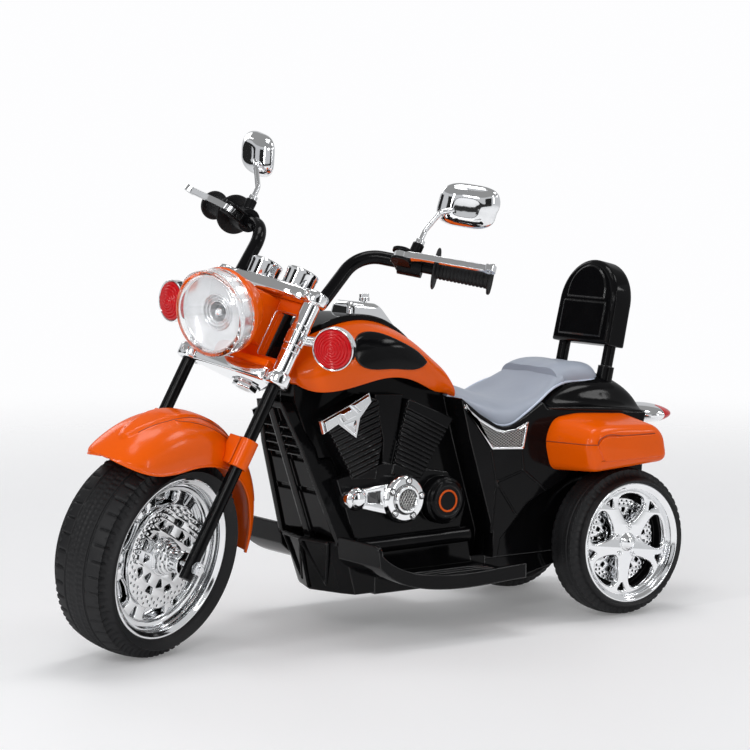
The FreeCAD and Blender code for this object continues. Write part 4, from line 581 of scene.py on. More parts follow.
def rounded(loop, radius, steps=4):
    """A loop with its corners rounded."""
    result = []
    count = len(loop)
    for i in range(count):
        here = Vector(loop[i])
        back = Vector(loop[i - 1]) - here
        onward = Vector(loop[(i + 1) % count]) - here
        reach = min(radius, back.length * 0.45, onward.length * 0.45)
        first = here + back.normalized() * reach
        last = here + onward.normalized() * reach
        for step in range(steps + 1):
            t = step / steps
            result.append(tuple(first * (1 - t) ** 2 + here * 2 * t * (1 - t) + last * t ** 2))
    return result


def inset(loop, distance):
    """A loop drawn in by a distance."""
    count = len(loop)
    area = sum(loop[i - 1][0] * loop[i][1] - loop[i][0] * loop[i - 1][1] for i in range(count))
    turn = math.copysign(1.0, area)
    result = []
    for i in range(count):
        along = (Vector(loop[(i + 1) % count]) - Vector(loop[i - 1])).normalized()
        result.append(tuple(Vector(loop[i]) + Vector((-along.y, along.x)) * turn * distance))
    return result


def between(first, last, share):
    """A loop part of the way from one loop to another."""
    return [(a[0] + (b[0] - a[0]) * share, a[1] + (b[1] - a[1]) * share) for a, b in zip(first, last)]


def edge_levels(start, rise, draw, turns):
    """Levels of a rounded edge: how far up, and how far drawn in."""
    return [(start + rise * math.sin(math.radians(turn)), draw * (1 - math.cos(math.radians(turn))))
            for turn in turns]


def layered(rings, place):
    """A closed form through rings of the same count of (x, y, z) points, with flat ends."""
    corners = [place @ Vector(corner) for ring in rings for corner in ring]
    count = len(rings[0])
    faces = [tuple(range(count)), tuple(range(len(corners) - count, len(corners)))]
    for level in range(len(rings) - 1):
        for i in range(count):
            after = (i + 1) % count
            low, high = level * count, (level + 1) * count
            faces.append((low + i, low + after, high + after, high + i))
    return outward(meshed("layered", corners, faces), 0.000001)


def facet(loop, low, high, draw):
    """A cut-stone form on the left side: an (x, z) loop, drawn in toward its middle at the outer height."""
    middle = sum((Vector(corner) for corner in loop), Vector((0.0, 0.0))) / len(loop)
    top = [middle + (Vector(corner) - middle) * draw for corner in loop]
    rings = [[(x, low, z) for x, z in loop], [(x, high, z) for x, z in top]]
    return layered(rings, MM @ at(HEAD_X))


def geometry_tree(name, inputs):
    """A new Geometry Nodes tree with its sizes and finish as named inputs."""
    return group_tree(name, "GeometryNodeTree",
                      [("Geometry", "Geometry", None), *inputs, ("Finish", "Material", None)],
                      [("Geometry", "Geometry")])


def finished_tree(tree, given, end, geometry):
    """Ends a Geometry Nodes tree: its instances are made real and get their finish."""
    whole = add(tree, "GeometryNodeRealizeInstances", {"Geometry": geometry}).outputs["Geometry"]
    colour = add(tree, "GeometryNodeSetMaterial", {"Geometry": whole, "Material": given["Finish"]})
    feed(tree, end, {"Geometry": colour.outputs["Geometry"]})
    return tree


def grown(tree, corners, values, place, edges=()):
    """The plain mesh that a Geometry Nodes tree grows from corner points or lines, put in place."""
    seed = meshed("seed", [Vector(corner) for corner in corners], [], edges)
    holder = put("seed", seed)
    modifier = holder.modifiers.new("Grow", "NODES")
    modifier.node_group = tree
    for socket in tree.interface.items_tree:
        if socket.item_type == "SOCKET" and socket.in_out == "INPUT" and socket.name in values:
            modifier[socket.identifier] = values[socket.name]
    bpy.context.view_layer.update()
    mesh = bpy.data.meshes.new_from_object(holder.evaluated_get(bpy.context.evaluated_depsgraph_get()))
    holder.modifiers.clear()
    bpy.data.objects.remove(holder)
    bpy.data.meshes.remove(seed)
    mesh.transform(place)
    return mesh


def stud_tree(name):
    """Bolt heads on every point: a washer, a hexagon and a domed end, along Z."""
    tree, given, end = geometry_tree(name, [("Radius", "Float", 3.0), ("Height", "Float", 3.0)])
    join = add(tree, "GeometryNodeJoinGeometry")
    for sides, width, rise, top in ((24, 1.0, 0.25, 0.92), (6, 0.86, 0.75, 0.86), (16, 0.62, 1.0, 0.42)):
        cone = add(tree, "GeometryNodeMeshCone", {
            "Vertices": sides, "Radius Bottom": maths(tree, "MULTIPLY", given["Radius"], width),
            "Radius Top": maths(tree, "MULTIPLY", given["Radius"], width * top),
            "Depth": maths(tree, "MULTIPLY", given["Height"], rise)})
        feed(tree, join, {"Geometry": cone.outputs["Mesh"]})
    heads = add(tree, "GeometryNodeInstanceOnPoints",
                {"Points": given["Geometry"], "Instance": join.outputs["Geometry"]})
    return finished_tree(tree, given, end, heads.outputs["Instances"])


def studs(spots, level, radius, height, finish, place):
    """Bolt heads on (x, y) spots at one level."""
    values = {"Radius": radius, "Height": height, "Finish": paint(finish)}
    return grown(kept("Bolt heads", stud_tree), [(x, y, level) for x, y in spots], values, place)


def mesh_tree(name):
    """A round air mesh: crossing wires, each as long as the circle is wide there."""
    tree, given, end = geometry_tree(name, [
        ("Radius", "Float", 10.0), ("Wire", "Float", 0.5), ("Count", "Int", 9)])
    radius = given["Radius"]
    pitch = maths(tree, "DIVIDE", maths(tree, "MULTIPLY", radius, 2.0),
                  maths(tree, "ADD", given["Count"], 1.0))
    step = add(tree, "ShaderNodeCombineXYZ", {"X": pitch}).outputs["Vector"]
    origin = add(tree, "ShaderNodeCombineXYZ",
                 {"X": maths(tree, "SUBTRACT", pitch, radius)}).outputs["Vector"]
    line = add(tree, "GeometryNodeMeshLine",
               {"Count": given["Count"], "Start Location": origin, "Offset": step})
    wire = add(tree, "GeometryNodeMeshCylinder", {"Vertices": 6, "Depth": 2.0, "Radius": given["Wire"]})
    spot = add(tree, "GeometryNodeInputPosition").outputs["Position"]
    x = add(tree, "ShaderNodeSeparateXYZ", {"Vector": spot}).outputs["X"]
    rest = maths(tree, "SUBTRACT", maths(tree, "MULTIPLY", radius, radius), maths(tree, "MULTIPLY", x, x))
    stretch = add(tree, "ShaderNodeCombineXYZ", {"X": 1.0, "Y": 1.0, "Z": maths(tree, "SQRT", rest)})
    lie = add(tree, "GeometryNodeInstanceOnPoints", {
        "Points": line.outputs["Mesh"], "Instance": wire.outputs["Mesh"], "Rotation": (math.pi / 2, 0.0, 0.0),
        "Scale": stretch.outputs["Vector"]})
    join = add(tree, "GeometryNodeJoinGeometry")
    for turn in (30.0, -30.0):
        swing = add(tree, "GeometryNodeTransform", {"Geometry": lie.outputs["Instances"],
                                                    "Rotation": (0.0, 0.0, math.radians(turn))})
        feed(tree, join, {"Geometry": swing.outputs["Geometry"]})
    return finished_tree(tree, given, end, join.outputs["Geometry"])


def wire_tree(name):
    """Round wires along the lines of a drawing."""
    tree, given, end = geometry_tree(name, [("Wire", "Float", 0.5)])
    lines = add(tree, "GeometryNodeMeshToCurve", {"Mesh": given["Geometry"]})
    ring = add(tree, "GeometryNodeCurvePrimitiveCircle", {"Resolution": 6, "Radius": given["Wire"]})
    sweep = add(tree, "GeometryNodeCurveToMesh", {
        "Curve": lines.outputs["Curve"], "Profile Curve": ring.outputs["Curve"], "Fill Caps": True})
    return finished_tree(tree, given, end, sweep.outputs["Mesh"])


def hatch(loop, slope, pitch):
    """Parallel lines at a slope across a loop, as a list of their ends."""
    level = spun(loop, -slope)
    ends = []
    y = min(corner[1] for corner in level) + pitch / 2
    while y < max(corner[1] for corner in level):
        hits = sorted(x0 + (x1 - x0) * (y - y0) / (y1 - y0)
                      for (x0, y0), (x1, y1) in zip(level, level[1:] + level[:1]) if (y0 <= y) != (y1 <= y))
        for first, last in zip(hits[::2], hits[1::2]):
            ends += spun([(first, y), (last, y)], slope)
        y += pitch
    return ends


def soft_step(distance, half_width, soft=0.7):
    """One inside a band, nothing outside it, with soft edges."""
    return min(1.0, max(0.0, (half_width - abs(distance)) / soft + 0.5))


def front_tread(run, turn, around, depth, cuts):
    """Depth of the front tyre's tread at a run from its middle and a share of a full turn."""
    out = abs(run)
    cut = depth * 0.85 * soft_step(out - 13.2, 1.3)
    if out < 11.0:
        column = (turn * 112.0 + (0.5 if run > 0 else 0.0)) % 1.0
        rows = min(abs(out - 3.2), abs(out - 8.2))
        block = soft_step((column - 0.5) * around / 112.0, 2.1) * soft_step(rows, 1.6)
        cut = max(cut, depth * 0.4 * (1.0 - block))
    pitch = around / cuts
    share = (turn * cuts) % 1.0
    if out > 15.0:
        long_cut = soft_step((share - 0.5) * pitch, 1.1, 0.9) * soft_step(out - 28.0, 11.0, 4.0)
        spare = ((share + 0.5) % 1.0 - 0.5) * pitch
        short_cut = soft_step(spare, 1.5, 1.0) * soft_step(out - 35.0, 6.5, 3.0)
        cut = max(cut, depth * 1.0 * long_cut, depth * 0.7 * short_cut)
    return cut


def rear_tread(run, turn, around, depth, cuts):
    """Depth of a rear tyre's tread: a fine ticked band, a plain shoulder groove and soft cross cuts."""
    out = abs(run)
    cut = depth * 0.7 * soft_step(out - 11.6, 0.9)
    if out < 9.0:
        tick = (turn * 150.0) % 1.0
        cut = depth * 0.5 * soft_step((tick - 0.5) * around / 150.0, 0.9) * soft_step(out - 6.6, 2.6)
    share = (turn * cuts) % 1.0
    if out > 13.0:
        pitch = around / cuts
        cross = soft_step((share - 0.5) * pitch, 1.2, 2.0) * soft_step(out - 21.0, 7.0, 4.0)
        cut = max(cut, depth * 0.9 * cross)
    return cut


def tyre_mesh(place, sizes, tread, segments, depth, cuts):
    """A tyre turned about Y: domed tread, bulging sides and a bead on the rim, with its tread cut in."""
    radius, width, crown, tread_width, rim, rim_width = sizes
    half = tread_width / 2
    shoulder = radius - (crown - math.sqrt(crown ** 2 - half ** 2))
    side = (shoulder + rim) / 2
    bulge = width / 2
    knee = (shoulder + 0.7 * (side - shoulder), bulge - 0.12 * width)
    seat = rim_width / 2 + 3.0
    lip = (rim + 5.0, rim_width / 2 + 9.0)
    flank = arc((shoulder, half), knee, (side, bulge), 18)[1:]
    flank += [lip, (rim + 3.6, seat + 5.0), (rim + 0.5, seat)]
    crest = arc((shoulder, -half), (radius, 0.0), (shoulder, half), 44)
    profile = [(r, -y) for r, y in reversed(flank)] + crest + flank
    runs = [0.0]
    for (r0, y0), (r1, y1) in zip(profile, profile[1:]):
        runs.append(runs[-1] + math.hypot(r1 - r0, y1 - y0))
    runs = [run - runs[-1] / 2 for run in runs]
    corners = []
    count = len(profile)
    for step in range(segments):
        turn = step / segments
        c, s = math.cos(2 * math.pi * turn), math.sin(2 * math.pi * turn)
        for i, (r, y) in enumerate(profile):
            r0, y0 = profile[max(0, i - 1)]
            r1, y1 = profile[min(count - 1, i + 1)]
            length = math.hypot(r1 - r0, y1 - y0)
            treaded = abs(runs[i]) < half + 22.0
            cut = tread(runs[i], turn, 2 * math.pi * radius, depth, cuts) if treaded else 0.0
            deep_r = r - cut * (y1 - y0) / length
            deep_y = y + cut * (r1 - r0) / length
            corners.append(place @ Vector((deep_r * s, deep_y, deep_r * c)))
    faces = []
    for step in range(segments):
        here = step * count
        there = ((step + 1) % segments) * count
        for i in range(count):
            after = (i + 1) % count
            faces.append((here + i, here + after, there + after, there + i))
    return shaded(outward(meshed("tyre", corners, faces)), 50.0)


def rear_hub(side):
    """The middle of a rear wheel, Z outward, X forward on the left and rearward on the right."""
    turn = Matrix(((side, 0, 0, 0), (0, 0, side, 0), (0, -1, 0, 0), (0, 0, 0, 1)))
    return MM @ at(0.0, REAR_WHEEL_Y * side, REAR_WHEEL_Z) @ turn


class TRIKE_OT_tyres(bpy.types.Operator):
    """Make the three tyres with their treads"""

    bl_idname = "trike.tyres"
    bl_label = "Tyres"

    def execute(self, context):
        sizes = context.scene.trike_sizes
        depth = sizes.tread_depth * 1000
        mesh = tyre_mesh(FRONT_HUB, FRONT_TYRE, front_tread, 560, depth, sizes.front_cuts)
        piece("front_tyre_rubber", mesh, "front_wheel", "tyre_black", "front_tyre")
        for label, side in (("left", 1), ("right", -1)):
            place = MM @ at(0.0, REAR_WHEEL_Y * side, REAR_WHEEL_Z)
            mesh = tyre_mesh(place, REAR_TYRE, rear_tread, 432, depth * 0.5, sizes.rear_cuts)
            piece(f"rear_tyre_rubber_{label}", mesh, f"rear_wheel_{label}", "tyre_black",
                  f"rear_tyre_{label}")
        return {"FINISHED"}


def rim_profile(radius, half, dish, inner):
    """Half section of a rim as (radius, height): barrel, rolled lip, step and dished face, on both sides."""
    outer = [(radius, half + 0.5), (radius + 2.6, half + 1.4)]
    outer += arc((radius + 3.0, half + 3.6), (radius + 1.6, half + 5.6), (radius - 1.0, half + 5.2), 5)
    outer += [(radius - 3.2, half + 3.4), (radius - 4.2, half + 2.8)]
    outer += arc((radius - 5.2, half + 2.4), ((radius + inner) / 2 + 1, half - dish * 0.62),
                 (inner + 6, half - dish + 4), 8)
    outer += [(inner + 3, half - dish + 4.4), (inner + 0.6, half - dish + 3.4), (inner, half - dish + 1.8),
              (inner, half - dish - 1.0), (inner + 9, half - dish - 1.0), (radius - 4.5, half - 2.5)]
    return [(radius, -half), (radius, half)] + outer + [(r, -h) for r, h in reversed(outer)]


class TRIKE_OT_front_rim(bpy.types.Operator):
    """Make the front rim: dished ring, forked arms, drilled discs and hub"""

    bl_idname = "trike.front_rim"
    bl_label = "Front rim"

    def execute(self, context):
        hole = context.scene.trike_sizes.disc_hole * 1000
        place = FRONT_HUB @ Matrix.Rotation(math.radians(-90), 4, "X")
        parts = [turned(rim_profile(86.0, 28.0, 10.0, 72.0), place, 128)]
        spider = [ring_loop(74.0, 96), ring_loop(15.0, 32)]
        window = [(-15.5, 56.5), (-18.0, 68.0), (0.0, 71.0), (18.0, 68.0), (15.5, 56.5), (0.0, 54.5)]
        window = rounded(window, 3.5)
        slot = rounded([(-1.4, 60.0), (1.4, 60.0), (4.6, 70.6), (-4.6, 70.6)], 1.3)
        pocket = rounded([(-5.0, 26.0), (5.0, 26.0), (10.0, 42.0), (-10.0, 42.0)], 2.5)
        for index in range(6):
            spider += [spun(window, 60.0 * index + 30.0), spun(slot, 60.0 * index),
                       spun(pocket, 60.0 * index + 30.0)]
        wave = [(math.radians(angle), 56.8 + 0.8 * math.cos(math.radians(12 * angle)))
                for angle in range(0, 360, 3)]
        disc = [[(radius * math.sin(turn), radius * math.cos(turn)) for turn, radius in wave],
                ring_loop(21.0, 32)]
        wide = rounded([(-4.2, 34.5), (4.2, 34.5), (6.4, 42.0), (-6.4, 42.0)], 1.5, 2)
        narrow = rounded([(-1.8, 24.6), (1.8, 24.6), (5.6, 34.0), (-5.6, 34.0)], 1.2, 2)
        for index in range(8):
            disc += [spun(wide, 45.0 * index), spun(narrow, 45.0 * index + 22.5)]
        disc += holes(hole, 28, ((46.4, 0.95, 0.0), (50.2, 0.95, 0.5), (53.8, 0.8, 0.0)))
        boss = [(23.0, 12.0), (23.0, 21.5), (22.0, 23.5), (19.0, 24.0), (19.0, 27.0), (18.0, 29.5),
                (16.5, 30.0), (16.5, 33.0), (14.0, 34.0), (14.0, 37.0), (12.5, 38.0), (12.5, 50.0),
                (11.5, 51.0), (4.3, 51.0), (4.3, 12.5)]
        for side in (1, -1):
            face = place if side > 0 else place @ Matrix.Rotation(math.pi, 4, "X")
            parts += [plate(spider, 6.0, 1.6, face @ at(z=12.0)),
                      plate(disc, 2.6, 0.4, face @ at(z=21.4), 1), turned(boss, face, 64),
                      studs(circle_spots(18.8, 6, 0.5), 23.6, 2.3, 2.4, "rim_chrome", face)]
        parts.append(turned(band(11.0, 12.5, -14.0, 14.0), place, 48))
        whole = joined(parts)
        whole.materials.clear()
        piece("front_rim_chrome", whole, "front_wheel", "rim_chrome", "front_rim")
        well = [(12.6, -9.0), (71.0, -9.0), (71.0, -17.6), (72.4, -17.6), (72.4, 17.6), (71.0, 17.6),
                (71.0, 9.0), (12.6, 9.0)]
        inside = [turned(well, place, 96)]
        inside += [turned(band(44.0, 56.0, low, low + 1.2), place, 72) for low in (19.6, -20.8)]
        piece("front_rim_inside", joined(inside), "front_wheel", "rim_chrome")
        return {"FINISHED"}


class TRIKE_OT_rear_rims(bpy.types.Operator):
    """Make the rear rims: five forked spokes over a drilled disc, with cap and nuts"""

    bl_idname = "trike.rear_rims"
    bl_label = "Rear rims"

    def execute(self, context):
        hole = context.scene.trike_sizes.disc_hole * 1000
        star = [ring_loop(60.5, 96)]
        half = [(0, 21.5), (10, 23.5), (17, 28.0), (22.5, 36.0), (24.5, 44.0), (23.5, 50.5), (18.0, 54.8),
                (9.0, 56.2)]
        petal = half + [(0, 56.4)] + [(-angle, radius) for angle, radius in reversed(half[1:])]
        window = [(r * math.sin(math.radians(a)), r * math.cos(math.radians(a))) for a, r in petal]
        notch = rounded([(0.0, 46.5), (5.8, 55.6), (0.0, 56.6), (-5.8, 55.6)], 1.4)
        for index in range(5):
            star += [rounded(spun(window, 72.0 * index + 36.0), 3.0, 3), spun(notch, 72.0 * index)]
        disc = [ring_loop(49.0, 72), ring_loop(20.0, 40)]
        disc += holes(hole, 40, ((42.5, 0.78, 0.0), (46.2, 0.78, 0.5)))
        opening = rounded([(-2.1, 33.0), (2.1, 33.0), (2.7, 38.4), (-2.7, 38.4)], 0.8, 2)
        small = rounded([(-1.4, 25.0), (1.4, 25.0), (1.9, 29.5), (-1.9, 29.5)], 0.6, 2)
        for index in range(20):
            disc += [spun(opening, 18.0 * index), spun(small, 18.0 * index + 9.0)]
        cap = [(0.0, 14.0), (10.4, 14.0), (10.4, 20.0), (9.8, 20.8)]
        cap += arc((9.0, 21.2), (5.2, 25.0), (0.0, 26.6), 8)[:-1] + [(0.0, 26.6)]
        for label, side in (("left", 1), ("right", -1)):
            place = rear_hub(side) @ Matrix.Rotation(math.radians(-8.0 if side > 0 else 8.0), 4, "Z")
            whole = joined([
                turned(rim_profile(67.0, 21.0, 7.0, 56.0), place, 112),
                plate(star, 8.0, 2.2, place @ at(z=10.5), 3),
                plate(disc, 2.6, 0.3, place @ at(z=2.0), 1), turned(cap, place, 40),
                turned(band(5.3, 15.0, -40.5, 17.0), place, 48),
                studs(circle_spots(16.6, 5, 0.5), 18.2, 2.8, 3.6, "rim_chrome", place)])
            whole.materials.clear()
            piece(f"rear_rim_chrome_{label}", whole, f"rear_wheel_{label}", "rim_chrome", f"rear_rim_{label}")
            inside = turned([(15.2, 0.2), (55.8, 0.2), (55.8, 10.2), (57.4, 10.2), (57.4, -18.0),
                             (55.8, -18.0), (55.8, -1.2), (15.2, -1.2)], place, 80)
            piece(f"rear_rim_inside_{label}", inside, f"rear_wheel_{label}", "trim_black")
        return {"FINISHED"}


class TRIKE_OT_fork(bpy.types.Operator):
    """Dress the fork legs, axle, stem and clamps"""

    bl_idname = "trike.fork"
    bl_label = "Fork and clamps"

    def execute(self, context):
        dressed("fork_tubes", "body_black")
        dressed("front_axle", "chrome")
        dressed("steering_stem", "steel")
        for node, base, height, front, low, high in (("lower_clamp", -41.0, 16.0, 44.0, -41.0, 6.4),
                                                     ("upper_clamp", 55.0, 15.0, 46.0, 22.6, 70.0)):
            turns = [math.radians(turn) for turn in range(-50, 231, 14)]
            ends = [(FORK_X + 15.0 * math.cos(turn), FORK_Y + 15.0 * math.sin(turn)) for turn in turns]
            half = [(front, 0.0), (front, 42.0)] + ends + [(9.0, 36.0), (-15.0, 15.0), (-16.0, 0.0)]
            loop = half + [(x, -y) for x, y in reversed(half[1:-1])]
            bar = plate([loop], height, 3.6, STEER @ at(z=base), 4)
            sleeve = [(7.1, low), (10.2, low), (10.6, low + 0.5), (10.6, low + 7.0), (10.0, low + 7.6),
                      (10.0, high - 7.6), (10.6, high - 7.0), (10.6, high - 0.5), (10.2, high), (7.1, high)]
            sleeves = steered_sides(turned(sleeve, FORK_LEG, 48))
            piece(node + "_bar", joined([bar, shaded(sleeves)]), "steering", "chrome", node)
        head = [(0.0, 0.0), (4.5, 0.0), (4.5, 2.2), (4.0, 2.9), (2.7, 3.0), (2.4, 2.6), (2.3, 0.9),
                (0.0, 0.9)]
        heads = [steered_sides(turned(head, aim(spot, (1.0, 0.0, 0.0)), 32))
                 for spot in ((44.0, FORK_Y, -33.0), (46.0, FORK_Y, 62.5))]
        nut = turned([(9.2, -47.0), (13.0, -47.0), (14.0, -46.2), (14.0, -42.4), (9.2, -42.4)], STEER, 6)
        washer = turned([(9.2, -42.4), (16.5, -42.4), (17.0, -42.0), (17.0, -41.1), (9.2, -41.1)], STEER, 40)
        piece("clamp_screws", shaded(joined(heads + [nut, washer])), "steering", "chrome", "clamp_bolts")
        return {"FINISHED"}


def smooth_row(rows, share):
    """A row between the rows of a table, on a smooth curve through them."""
    spot = share * (len(rows) - 1)
    i = min(int(spot), len(rows) - 2)
    s = spot - i
    near = (rows[max(0, i - 1)], rows[i], rows[i + 1], rows[min(len(rows) - 1, i + 2)])
    result = []
    for a, b, c, d in zip(*near):
        bend, twist = 2 * a - 5 * b + 4 * c - d, 3 * b - a - 3 * c + d
        result.append(0.5 * (2 * b + (c - a) * s + bend * s * s + twist * s ** 3))
    return result


def fender_spot(row, lean, drawn=0.0):
    """A point on a row of the front fender, at a lean from its left edge over the crown, drawn inward."""
    turn, crown, low, half = row
    out = Vector((math.cos(math.radians(turn)), 0.0, math.sin(math.radians(turn))))
    y = half * math.copysign(abs(math.cos(lean)) ** 0.8, math.cos(lean))
    tongue = fender_tongue(turn)
    raised = 0.0
    if tongue > 1.0 and not drawn:
        raised = 2.4 * soft_step(y, tongue, 1.8) * soft_step(turn - 60.0, 90.0, 30.0)
    radius = low + (crown - low) * math.sin(lean) ** 0.95 + raised - drawn * math.sin(lean)
    return FRONT_AXLE + out * radius + Vector((0.0, y - drawn * math.cos(lean), 0.0))


def fender_tongue(turn):
    """Half width of the raised tongue on the fender's crown."""
    return 15.0 * math.sqrt(min(1.0, max(0.0, (turn - 64.0) / 22.0)))


def fender_line(first, last, reach):
    """A thin line on the left of the fender between two turns; reach gives its distance from the middle."""
    spots = []
    for row in [smooth_row(FENDER_ROWS, step / 160) for step in range(161)]:
        if first <= row[0] <= last:
            lean = math.acos(min(1.0, reach(row[0]) / row[3]) ** 1.25)
            spots.append(fender_spot(row, lean))
    return tube(spots, 0.55, Matrix.Identity(4), sides=2)


def fender_mesh():
    """The front fender: a shell round the wheel with a raised crown, a rounded nose and a rolled edge."""
    length, across = 120, 72
    rows = [smooth_row(FENDER_ROWS, step / length) for step in range(length + 1)]
    leans = [math.pi * column / across for column in range(across + 1)]
    outer = [fender_spot(row, lean) for row in rows for lean in leans]
    inner = [fender_spot(row, lean, FENDER_WALL) for row in rows for lean in leans]
    row = across + 1
    count = len(outer)
    faces = []
    for step in range(length):
        for column in range(across):
            a = step * row + column
            faces.append((a, a + 1, a + row + 1, a + row))
            faces.append((count + a, count + a + row, count + a + row + 1, count + a + 1))
        for a in (step * row, step * row + across):
            faces.append((a, a + row, count + a + row, count + a))
    for column in range(across):
        for a in (column, length * row + column):
            faces.append((a, a + 1, count + a + 1, count + a))
    mesh = meshed("fender", outer + inner, faces)
    mesh.transform(STRAIGHT)
    edge = both_sides(tube([fender_spot(here, 0.0) for here in rows], 1.3, Matrix.Identity(4)))
    edge.transform(STRAIGHT)
    return joined([shaded(outward(mesh, 0.0000001), 50.0), edge])


def fender_lines():
    """The fine lines round the raised tongue and down the fender's sides, painted dark orange as the shade in
    their creases.
    """
    lines = both_sides(joined([
        fender_line(70.0, 150.0, lambda turn: fender_tongue(turn) + 1.4),
        fender_line(88.0, 138.0, lambda turn: 16.4 + 25.0 * ((turn - 88.0) / 50.0) ** 0.6),
        fender_line(106.0, 160.0, lambda turn: 16.4 + 21.0 * ((turn - 106.0) / 54.0) ** 0.6)]))
    lines.transform(STRAIGHT)
    return lines


class TRIKE_OT_front_fender(bpy.types.Operator):
    """Dress the front fender with its rolled edge and crown lines"""

    bl_idname = "trike.front_fender"
    bl_label = "Front fender"

    def execute(self, context):
        grid = fender_mesh()
        lug = [(7.1, -137.0), (10.4, -137.0), (11.0, -136.2), (11.0, -105.8), (10.4, -105.0), (7.1, -105.0)]
        web = rounded([(21.5, 41.0), (42.5, 41.0), (42.5, 60.0), (21.5, 60.0)], 1.0)
        lugs = steered_sides(joined([turned(lug, FORK_LEG, 40),
                                     plate([web], 31.0, 1.4, at(z=-136.5))]))
        piece("front_fender_shell", joined([grid, shaded(lugs)]), "steering", "orange", "front_fender")
        # The fender's lines are painted dark orange as the shade in their creases.
        piece("front_fender_lines", fender_lines(), "steering", "painted_seam_shade")
        return {"FINISHED"}


class TRIKE_OT_headlight(bpy.types.Operator):
    """Dress the headlight: bucket, ringed reflector, bulb, lens and bracket"""

    bl_idname = "trike.headlight"
    bl_label = "Headlight"

    def execute(self, context):
        place = STEER @ aim((103.0, 0.0, -1.0), LAMP_AXIS)
        bucket = [(0.0, -58.0)] + arc((3.0, -57.9), (22.0, -53.0), (36.0, -36.0), 12)
        bucket += arc((36.0, -36.0), (39.8, -28.6), (42.6, -20.4), 8)[1:]
        bucket += [(44.8, -20.0), (46.2, -18.8), (46.5, -17.4), (46.5, -12.8), (46.0, -12.0), (43.0, -12.0),
                   (41.4, -12.4), (41.4, -18.0)]
        bucket += arc((39.4, -24.0), (31.0, -39.0), (3.0, -54.9), 14) + [(0.0, -55.0)]
        piece("headlight_bucket", turned(bucket, place, 96), "steering", "orange", "headlight_shell")
        bowl = [(0.0, -28.0), (10.0, -28.0), (11.0, -16.0), (20.5, -11.0), (37.6, -4.8), (38.8, -13.0),
                (41.0, -13.0), (41.0, 0.0), (39.2, 0.0)]
        bowl += arc((38.4, -0.8), (30.0, -5.2), (20.6, -7.6), 14)
        for radius, height in ((19.8, -7.6), (16.2, -8.4), (12.6, -9.4)):
            bowl += [(radius, height), (radius - 0.5, height + 1.5), (radius - 1.2, height + 1.9),
                     (radius - 1.9, height + 1.3), (radius - 2.5, height - 1.2)]
        bowl += [(9.4, -13.0), (8.2, -24.0), (0.0, -26.0)]
        piece("headlight_bowl", turned(bowl, place, 96), "steering", "bowl", "headlight_reflector")
        bulb = [(0.0, -25.5), (5.5, -25.5), (5.5, -17.0), (4.6, -16.0), (4.6, -10.0), (3.4, -7.0),
                (1.6, -5.4), (0.0, -5.0)]
        piece("headlight_bulb", turned(bulb, place, 32), "steering", "glass")
        cover = [(0.0, 17.0)] + arc((4.0, 16.94), (25.0, 14.4), (42.0, 9.4), 16)
        cover += [(43.6, 8.9), (45.2, 7.8), (46.2, 6.2), (46.5, 4.4), (46.5, -12.0), (41.5, -12.0),
                  (41.5, 6.2), (40.8, 7.4)]
        cover += arc((39.6, 8.0), (24.0, 12.4), (4.0, 14.94), 16) + [(0.0, 15.0)]
        peak = []
        for step in range(25):
            turn = math.radians(28.0 + 124.0 * step / 24)
            reach = 4.0 + 9.5 * math.sin(math.pi * step / 24) ** 0.7
            peak.append([(radius * math.cos(turn), radius * math.sin(turn), height)
                         for radius, height in ((46.7, 3.0), (46.9, reach), (45.2, reach), (45.0, 3.0))])
        lens = joined([turned(cover, place, 96), shaded(layered(peak, place), 50.0)])
        piece("headlight_cover", lens, "steering", "lens_clear", "headlight_lens")
        panel = rounded([(-49.5, -25.0), (49.5, -25.0), (49.5, 55.0), (-49.5, 55.0)], 2.0)
        window = rounded([(17.5, -11.0), (46.5, -11.0), (46.5, 41.0), (17.5, 41.0)], 4.0)
        other = [(-y, z) for y, z in reversed(window)]
        neck = [(27.0, -3.0), (27.0, 53.0), (68.0, 47.0), (76.0, 1.0)]
        foot = rounded([(21.0, -45.0), (40.0, -45.0), (40.0, 45.0), (21.0, 45.0)], 2.0)
        wall = [(13.0, -12.0), (21.5, -12.0), (21.5, 42.0), (13.0, 42.0)]
        walls = steered_sides(plate([wall], 2.5, 0.4, at(y=15.2) @ SIDEWAYS))
        bracket = joined([plate([panel, window, other], 7.0, 1.4, STEER @ at(21.0) @ FACING),
                          plate([neck], 34.0, 2.4, STEER @ at(y=-17.0) @ SIDEWAYS),
                          plate([foot], 8.0, 1.5, STEER @ at(z=-25.0)), walls])
        piece("headlight_bracket_panel", shaded(bracket, 40.0), "steering", "orange", "headlight_bracket")
        # Thin chrome borders round the bracket's windows paint the highlight on their orange edges.
        highlight_border = rounded([(16.4, -12.1), (47.6, -12.1), (47.6, 42.1), (16.4, 42.1)], 5.0)
        frames = steered_sides(plate([highlight_border, window], 1.4, 0.5, at(27.2) @ FACING))
        piece("bracket_window_highlights", shaded(frames, 40.0), "steering", "chrome")
        return {"FINISHED"}


